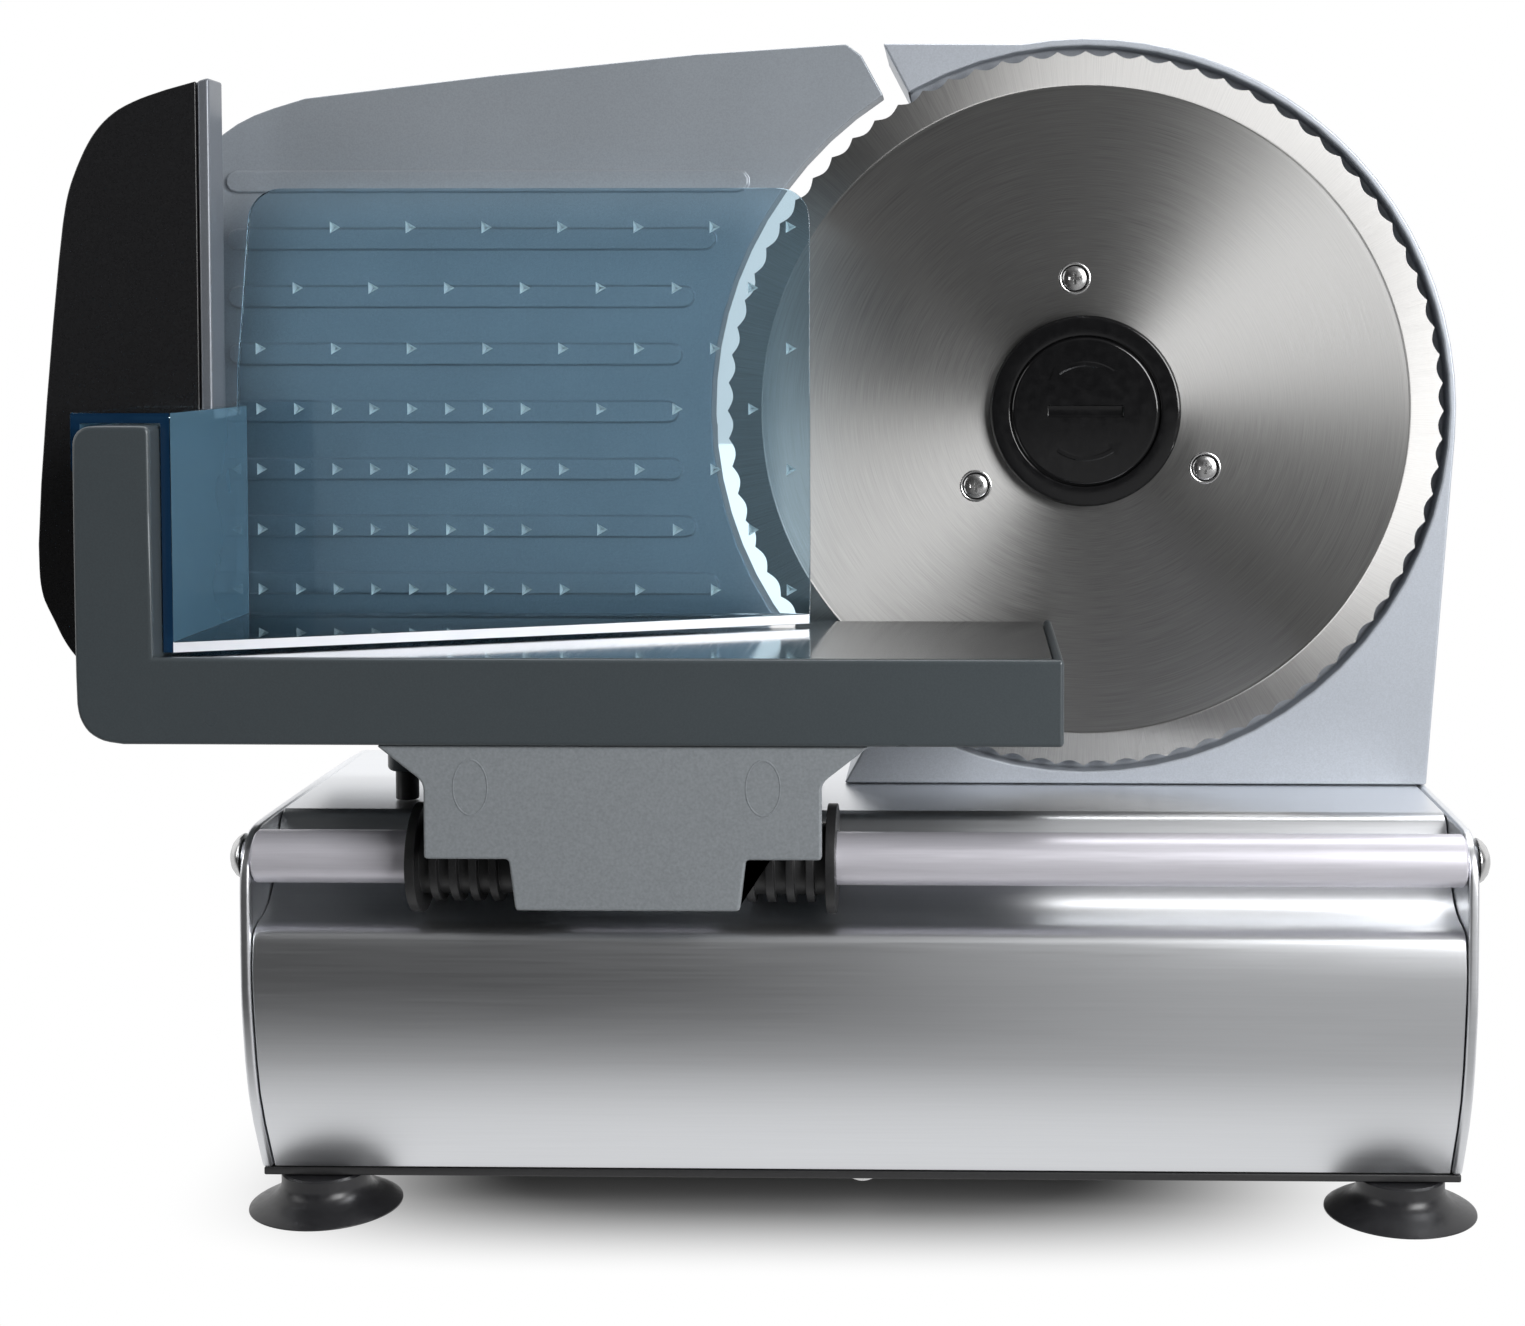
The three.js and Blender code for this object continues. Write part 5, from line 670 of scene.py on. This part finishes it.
# %% Slider bushes
BUSH_BORE, BUSH_R = 6.7, 8.7
RIB_R, FLANGE_R = 10.5, 13.2
RIBS = 4
RIB_PITCH = 4.8
RIB_T = 2
FLANGE_T = 2.4
for side, way in (("left", 1), ("right", -1)):
    low, high = reach(f"slider_bush_{side}")
    outer, inner = (low.x, high.x) if way > 0 else (high.x, low.x)
    behind_flange = outer + way * FLANGE_T
    line = [(BUSH_BORE, outer), (FLANGE_R, outer), (FLANGE_R, behind_flange), (BUSH_R, behind_flange)]
    for rib in range(1, RIBS + 1):
        edge = outer + way * (FLANGE_T + rib * RIB_PITCH - RIB_T)
        line += [(BUSH_R, edge), (RIB_R, edge), (RIB_R, edge + way * RIB_T), (BUSH_R, edge + way * RIB_T)]
    line += [(BUSH_R, inner), (BUSH_BORE, inner), (BUSH_BORE, outer)]
    bush = soften(turned(line, RAIL_AXIS, ALONG_X, 56), 0.25, 2, 40)
    piece(f"ribbed_bush_{side}", bush, BLACK_MOULDED, "carriage", [f"slider_bush_{side}"])
    filed(f"glide_peg_{side}", f"glide_foot_{side}", (0.4, 2, 40), BLACK_MOULDED, "carriage")

# %% [markdown]
# The thumb guard keeps the hand away from the blade. A black face lies in a silver back whose edge shows
# on the right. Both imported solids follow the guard's curve and only need rounded rims.

# %% Thumb guard
guard = soften(rounder(copied("thumb_guard")), 0.8, 3, 40)
piece("guard_back", guard, GUARD_SILVER, "carriage", ["thumb_guard"], 40)
guard = soften(rounder(copied("thumb_guard_face")), 0.4, 3, 40)
piece("guard_face", guard, BLACK_SATIN, "carriage", ["thumb_guard_face"], 40)

# %% [markdown]
# The food pusher is one clear moulding: a saddle over the carriage wall, a flange, a plate full of small
# spikes and a slanted foot. It has to be one closed skin, or inner walls would show through the plastic.
# So five sheets are joined, their edges are rounded, and the spikes are joined on last. At the end a
# loop looks at where each face lies and which way it looks, and gives it its mix of plastic: painted
# shade on the front edges and the flange's side, a painted highlight on the foot's edge and a painted
# glint on the spikes.

# %% Food pusher
PUSHER_LOW, PUSHER_HIGH = reach("food_pusher")
SHEET_T = 2.5
LEG_H = 13.8
SADDLE_L = 58
WALL_TO_FLANGE = 18.5
GUARD_TO_CAP = 75.8
PLATE_CORNER = 8
CUT_X, CUT_Z = 4, 8
SKIN_WELD = 0.01
SPIKE_H = 3
SPIKE_R = 2.4
SPIKE_ROOT = 1
SPIKE_L = SPIKE_H + SPIKE_ROOT
SPIKE_TURN = Matrix.Rotation(math.radians(-90), 4, "X") @ Matrix.Rotation(math.radians(-90), 4, "Z")
# Slots for painted light: a painted glint on the spikes, painted shade on the front edges, a painted
# highlight on the foot's edge and painted shade on the flange's side.
SPIKES_PAINTED_GLINT, FRONT_EDGES_PAINTED_SHADE, FOOT_EDGE_PAINTED_HIGHLIGHT, FLANGE_SIDE_PAINTED_SHADE = 1, 2, 3, 4
plate_y = PUSHER_HIGH.y - SPIKE_H
flange_x = reach("carriage_frame")[0].x + WALL_TO_FLANGE
cap_z = reach("thumb_guard")[0].z + GUARD_TO_CAP
saddle_back = reach("carriage_frame")[0].y + SADDLE_L


def block(low, high):
    """A box between two corners in millimetres."""
    (x0, y0, z0), (x1, y1, z1) = low, high
    return slab([at(x0, y0, z0), at(x1, y0, z0), at(x1, y1, z0), at(x0, y1, z0)], ALONG_Z * (z1 - z0) * MM)


plate = bmesh.new()
plate_line = [(flange_x, PUSHER_LOW.z), (PUSHER_HIGH.x, PUSHER_LOW.z), (PUSHER_HIGH.x, PUSHER_HIGH.z),
              (flange_x + CUT_X, PUSHER_HIGH.z), (flange_x, cap_z + CUT_Z)]
corners = [plate.verts.new(at(x, plate_y, z)) for x, z in plate_line]
plate.faces.new(corners)
bmesh.ops.bevel(plate, geom=corners[2:4], offset=PLATE_CORNER * MM, segments=8, profile=0.5,
                affect="VERTICES")
thicken(plate, plate.faces[:], -ALONG_Y * SHEET_T * MM)
foot_line = [(flange_x, PUSHER_LOW.y), (flange_x + SHEET_T, PUSHER_LOW.y),
             (PUSHER_HIGH.x, plate_y - SHEET_T), (PUSHER_HIGH.x, plate_y), (flange_x, plate_y)]
foot = slab([at(x, y, PUSHER_LOW.z) for x, y in foot_line], ALONG_Z * SHEET_T * MM)
flange = block((flange_x, PUSHER_LOW.y, PUSHER_LOW.z), (flange_x + SHEET_T, plate_y, cap_z))
cap = block((PUSHER_LOW.x, PUSHER_LOW.y, cap_z - SHEET_T), (flange_x + SHEET_T, saddle_back, cap_z))
leg = block((PUSHER_LOW.x, PUSHER_LOW.y, cap_z - LEG_H), (PUSHER_LOW.x + SHEET_T, saddle_back, cap_z))
pusher = plate
for sheet in (flange, foot, cap, leg):
    pusher = combine(pusher, sheet, "UNION")
bmesh.ops.remove_doubles(pusher, verts=pusher.verts, dist=SKIN_WELD * MM)
bmesh.ops.dissolve_limit(pusher, angle_limit=FLAT, verts=pusher.verts, edges=pusher.edges)
soften(pusher, 0.3, 2, 40)
tips = {tuple(round(c, 5) for c in v.co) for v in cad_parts["food_pusher"].data.vertices
        if v.co.y > at(0, PUSHER_HIGH.y - 0.01, 0).y}
spikes = bmesh.new()
for tip in tips:
    middle = Vector(tip) - ALONG_Y * SPIKE_L / 2 * MM
    bmesh.ops.create_cone(spikes, cap_ends=True, segments=3, radius1=SPIKE_R * MM, radius2=0,
                          depth=SPIKE_L * MM, matrix=Matrix.Translation(middle) @ SPIKE_TURN)
print(len(tips), "spikes")
pusher = combine(pusher, spikes, "UNION")
pusher_piece = piece("clear_pusher", pusher, PUSHER_BLUE, "pusher", ["food_pusher"], 25)
for extra in (PUSHER_SPIKE_PAINTED_GLINT, PUSHER_PAINTED_DARK_EDGE, PUSHER_PAINTED_HIGHLIGHT, PUSHER_PAINTED_SHADE_SIDE):
    pusher_piece.data.materials.append(extra)
# Each face gets its painted shade, highlight or glint by where it lies and which way it faces.
for face in pusher_piece.data.polygons:
    middle = (face.center - at(0, 0, 0)) / MM
    if middle.y > plate_y + 0.05:
        face.material_index = SPIKES_PAINTED_GLINT
    elif face.normal.y < -0.9 and middle.y < PUSHER_LOW.y + 0.1:
        face.material_index = FRONT_EDGES_PAINTED_SHADE
    elif face.normal.y < -0.8 and face.normal.x > 0.2 and middle.z < PUSHER_LOW.z + SHEET_T:
        face.material_index = FOOT_EDGE_PAINTED_HIGHLIGHT
    elif face.normal.x > 0.9 and middle.x < flange_x + SHEET_T + 0.1:
        face.material_index = FLANGE_SIDE_PAINTED_SHADE

# %% [markdown]
# On the back are the thickness knob, the switch and the lead's gland. The knob's flutes and the switch's
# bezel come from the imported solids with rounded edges. A white pointer lies in a groove of the knob, and
# printed ticks round it mark the thickness, one for every thirty degrees that the knob can turn.

# %% Controls on the back
KNOB_BACK = reach("thickness_knob")[1].y
POINTER = (5, 13)
POINTER_HALF = 0.6
POINTER_DEPTH = 0.55
POINTER_T = 0.45
GROOVE = (4.9, 13.1)
GROOVE_HALF = 0.7
KNOB_GROOVE_DEPTH = 0.6
SHEET_BACK = reach("base_cover")[1].y
TICKS = 11
TICK_STEP = 30
TICK = (24, 27)
TICK_HALF = 0.35
TICK_SUNK = 0.05
TICK_T = 0.15


def bar(turn, ends, half_width, back, thickness, mesh=None):
    """A bar that points away from the knob's axis; turn is the angle from upright in degrees."""
    inner, outer = ends
    corners = ((-half_width, inner), (half_width, inner), (half_width, outer), (-half_width, outer))
    lean = Matrix.Rotation(math.radians(turn), 3, "Y")
    middle = centre_of("thickness_knob", y=back)
    outline = [middle + lean @ Vector((x, 0, z)) * MM for x, z in corners]
    return slab(outline, ALONG_Y * thickness * MM, mesh)


groove = bar(0, GROOVE, GROOVE_HALF, KNOB_BACK - KNOB_GROOVE_DEPTH, 1)
knob = combine(soften(copied("thickness_knob"), 0.6, 3, 25), groove, "DIFFERENCE")
piece("fluted_knob", knob, BLACK_MOULDED, "knob", ["thickness_knob"])
pointer = bar(0, POINTER, POINTER_HALF, KNOB_BACK - POINTER_DEPTH, POINTER_T)
piece("knob_pointer", soften(pointer, 0.1, 2), WHITE_MARK, "knob", ())
scale = bmesh.new()
for number in range(TICKS):
    bar(TICK_STEP * number, TICK, TICK_HALF, SHEET_BACK - TICK_SUNK, TICK_T, scale)
piece("knob_scale", scale, BLACK_SATIN, "base", ())
filed("switch_frame", "switch_body", (0.5, 2, 40), BLACK_MOULDED, "base")
filed("switch_paddle", "switch_rocker", (0.4, 3, 40), BLACK_GLOSS, "rocker")
filed("lead_gland", "cord_gland", (0.5, 3, 40), SOFT_RUBBER, "base")

# %% [markdown]
# The drive inside is hidden while the machine is whole, but it shows when a cover is taken away. These
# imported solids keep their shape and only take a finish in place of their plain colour.

# %% Finishes of the inner pieces
INNER = (
    (DARK_STEEL, ("blade_spindle", "motor_can", "motor_stator", "motor_bracket", "rod_support")),
    (SCREW_STEEL, ("worm_shaft", "guide_rod_left", "guide_rod_right", "follower_pin")),
    (BLACK_MOULDED, ("blade_carrier", "motor_cap", "motor_fan")),
    (NYLON, ("blade_gear", "cam_spindle")),
    (BRONZE, ("spindle_bush", "worm_bearing")),
    (COPPER, ("motor_commutator", "motor_armature")),
)
for inner_finish, names in INNER:
    for name in names:
        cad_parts[name].data.materials.clear()
        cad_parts[name].data.materials.append(inner_finish)
print(sum(len(names) for inner_finish, names in INNER), "inner pieces finished")

# %% [markdown]
# The machine stands on a white table. The floor takes the shadow, and its own colour is a dark grey. For
# rays from the camera and through clear pieces it also glows, more and more away from the machine, so that
# it ends in pure white; near the machine, where it glows little, its dark grey is painted shadow on top of
# the real shadow. The glow starts on a rounded rectangle, which a sum of fourth powers draws. Metal sees
# the floor's glow too, but only as deep as a table is: beyond its front edge lies the dim room, a dim glow
# that grows brighter towards the right.

# %% Floor
FLOOR_HALF = 4
# The floor's dark grey is painted shadow round the machine, inside the distances in metres where the glow
# starts and where it is full.
FLOOR_PAINTED_SHADOW_GREY = (0.28, 0.28, 0.28)
GLOW_MIDDLE = at(-75, 0, 0)
FLOOR_NEAR, FLOOR_FAR = 0.036, 0.082
FLOOR_STRETCH = (0.5, 1, 1)
CORNER_POWER = 4
TABLE_FRONT, TABLE_BACK = at(0, -165, 0).y, at(0, -45, 0).y
TABLE_LIGHT = 0.78
ROOM_LEFT, ROOM_RIGHT = at(-150, 0, 0).x, at(60, 0, 0).x
ROOM_DIM, ROOM_BRIGHT = 0.04, 0.36
floor_mesh = bmesh.new()
bmesh.ops.create_grid(floor_mesh, x_segments=1, y_segments=1, size=FLOOR_HALF)
floor_data = bpy.data.meshes.new("floor")
floor_mesh.to_mesh(floor_data)
floor_mesh.free()
floor = bpy.data.objects.new("floor", floor_data)
bpy.context.scene.collection.objects.link(floor)
floor_finish, tree, shader = finish("floor_white_painted_shadow", FLOOR_PAINTED_SHADOW_GREY, 0, 0.6)
floor_data.materials.append(floor_finish)


def node(kind, operation=None, **values):
    """A new node in the current tree, with values for its sockets by name."""
    made = tree.nodes.new(kind)
    if operation:
        made.operation = operation
    for name, value in values.items():
        made.inputs[name.replace("_", " ")].default_value = value
    return made


def link(source, target):
    """Joins two sockets of the current tree."""
    tree.links.new(source, target)


def maths(operation, first, second):
    """The result of two values, each a socket or a number."""
    made = node("ShaderNodeMath", operation)
    for socket, value in zip(made.inputs, (first, second)):
        if isinstance(value, (int, float)):
            socket.default_value = value
        else:
            link(value, socket)
    return made.outputs["Value"]


def spread(value, low, high, to_low, to_high):
    """A smooth ramp that takes one range of a value to another."""
    made = node("ShaderNodeMapRange", From_Min=low, From_Max=high, To_Min=to_low, To_Max=to_high)
    made.interpolation_type = "SMOOTHSTEP"
    link(value, made.inputs["Value"])
    return made.outputs["Result"]


def split(vector):
    """The three numbers of a vector, by axis."""
    made = node("ShaderNodeSeparateXYZ")
    link(vector, made.inputs["Vector"])
    return made.outputs


def ray_kinds():
    """One for rays from the camera or through clear pieces, and one for rays that metal reflects."""
    rays = node("ShaderNodeLightPath").outputs
    return maths("MAXIMUM", rays["Is Camera Ray"], rays["Is Transmission Ray"]), rays["Is Glossy Ray"]


direct, glossy = ray_kinds()
place = node("ShaderNodeTexCoord").outputs["Object"]
away = vector_maths(tree, "SUBTRACT", place, GLOW_MIDDLE)["Vector"]
near = split(vector_maths(tree, "MULTIPLY", away, FLOOR_STRETCH)["Vector"])
raised = maths("ADD", maths("POWER", near["X"], CORNER_POWER), maths("POWER", near["Y"], CORNER_POWER))
distance = maths("POWER", raised, 1 / CORNER_POWER)
# Near the machine the glow share is small, and the floor's grey shows there as painted shadow.
glow_share = spread(distance, FLOOR_NEAR, FLOOR_FAR, 0, 1)
along = split(place)
beyond = spread(along["X"], ROOM_LEFT, ROOM_RIGHT, ROOM_DIM, ROOM_BRIGHT)
table = maths("MAXIMUM", beyond, spread(along["Y"], TABLE_FRONT, TABLE_BACK, 0, TABLE_LIGHT))
glow = node("ShaderNodeEmission", Color=(1, 1, 1, 1))
link(maths("ADD", direct, maths("MULTIPLY", glossy, table)), glow.inputs["Strength"])
blend = node("ShaderNodeMixShader")
link(maths("MAXIMUM", maths("MULTIPLY", direct, glow_share), glossy), blend.inputs["Fac"])
link(shader.outputs["BSDF"], blend.inputs[1])
link(glow.outputs["Emission"], blend.inputs[2])
link(blend.outputs["Shader"], tree.nodes["Material Output"].inputs["Surface"])
print("floor", 2 * FLOOR_HALF, "m wide")

# %% [markdown]
# The studio is a white room behind the machine and a dim one in front of it, where the camera stands.
# Polished and satin metal shows that difference as dark and light bands. The camera itself always sees
# white behind the machine, and the rest of the world's light follows ramps along the three axes. Each
# ramp has a start and an end on its axis, and a level at either end.

# %% World
FILL = 0.45
LOW_RAMP = (0.1, 0.6, 0.015, 0.055)
HIGH_RAMP = (0.6, 0.9, 0, 0.05)
SIDE_RAMP = (-0.4, 0.5, 0.7, 2.5)
BACK_RAMP = (-0.15, 0.35, 0, 1)
world = bpy.data.worlds.new("studio")
bpy.context.scene.world = world
world.use_nodes = True
tree = world.node_tree
tree.nodes.clear()
along = split(node("ShaderNodeTexCoord").outputs["Generated"])
height = maths("ADD", spread(along["Z"], *LOW_RAMP), spread(along["Z"], *HIGH_RAMP))
side = spread(along["X"], *SIDE_RAMP)
behind = spread(along["Y"], *BACK_RAMP)
front = maths("MULTIPLY", maths("MULTIPLY", height, side), maths("SUBTRACT", 1, behind))
direct, glossy = ray_kinds()
level = maths("MULTIPLY", maths("ADD", front, behind), maths("ADD", glossy, FILL))
strength = maths("MINIMUM", maths("MAXIMUM", direct, level), 1)
sky = node("ShaderNodeBackground", Color=(1, 1, 1, 1))
link(strength, sky.inputs["Strength"])
link(sky.outputs["Background"], node("ShaderNodeOutputWorld").inputs["Surface"])
print("world ready")

# %% [markdown]
# Soft boxes do most of the lighting, as in a product studio: one in front on the right, a wide one
# overhead and slightly behind, and a weaker one on the left. Area lamps give the same soft edge to
# shadows and show up as smooth bands in metal.

# %% Lamps
def soft_box(name, place, target, size, power):
    """A rectangular lamp that looks at a target; its size is in metres and its power in watts."""
    lamp = bpy.data.lights.new(name, "AREA")
    lamp.shape = "RECTANGLE"
    lamp.size, lamp.size_y = size
    lamp.energy = power
    holder = bpy.data.objects.new(name, lamp)
    holder.location = place
    holder.rotation_euler = (target - place).to_track_quat("-Z", "Y").to_euler()
    bpy.context.scene.collection.objects.link(holder)
    print(name, power, "W")


aim = at(-60, 0, 150)
soft_box("right_box", aim + Vector((0.8, -0.92, 0.4)), aim, (0.6, 0.8), 18)
soft_box("overhead_box", aim + Vector((0, 0.35, 1.15)), aim, (1.3, 0.8), 10)
soft_box("left_box", aim + Vector((-1.2, -0.55, 0.45)), aim, (0.5, 0.9), 3.5)

# %% [markdown]
# The camera stands level with the blade, a little left of it and about 0.6 m away. Its place was found by
# matching some thirty points of the machine with the photograph. A small lens shift keeps the upright
# lines nearly upright, as the photograph has them.

# %% Camera
CAMERA_AT = (-33.2, -603.5, 219.8)
CAMERA_YAW = -1.05
CAMERA_PITCH = -2.47
FOCAL_PIXELS = 2274
PHOTO_WIDTH = 1525
SENSOR_WIDTH = 36
SHIFT_X, SHIFT_Y = -0.1021, -0.15
lens = bpy.data.cameras.new("camera")
lens.sensor_width = SENSOR_WIDTH
lens.lens = FOCAL_PIXELS / PHOTO_WIDTH * SENSOR_WIDTH
lens.shift_x = SHIFT_X
lens.shift_y = SHIFT_Y
camera = bpy.data.objects.new("camera", lens)
camera.location = at(*CAMERA_AT)
camera.rotation_euler = (math.radians(90 + CAMERA_PITCH), 0, math.radians(-CAMERA_YAW))
bpy.context.scene.collection.objects.link(camera)
bpy.context.scene.camera = camera
bpy.context.scene.view_settings.view_transform = "Standard"
print("lens", round(lens.lens, 2), "mm")
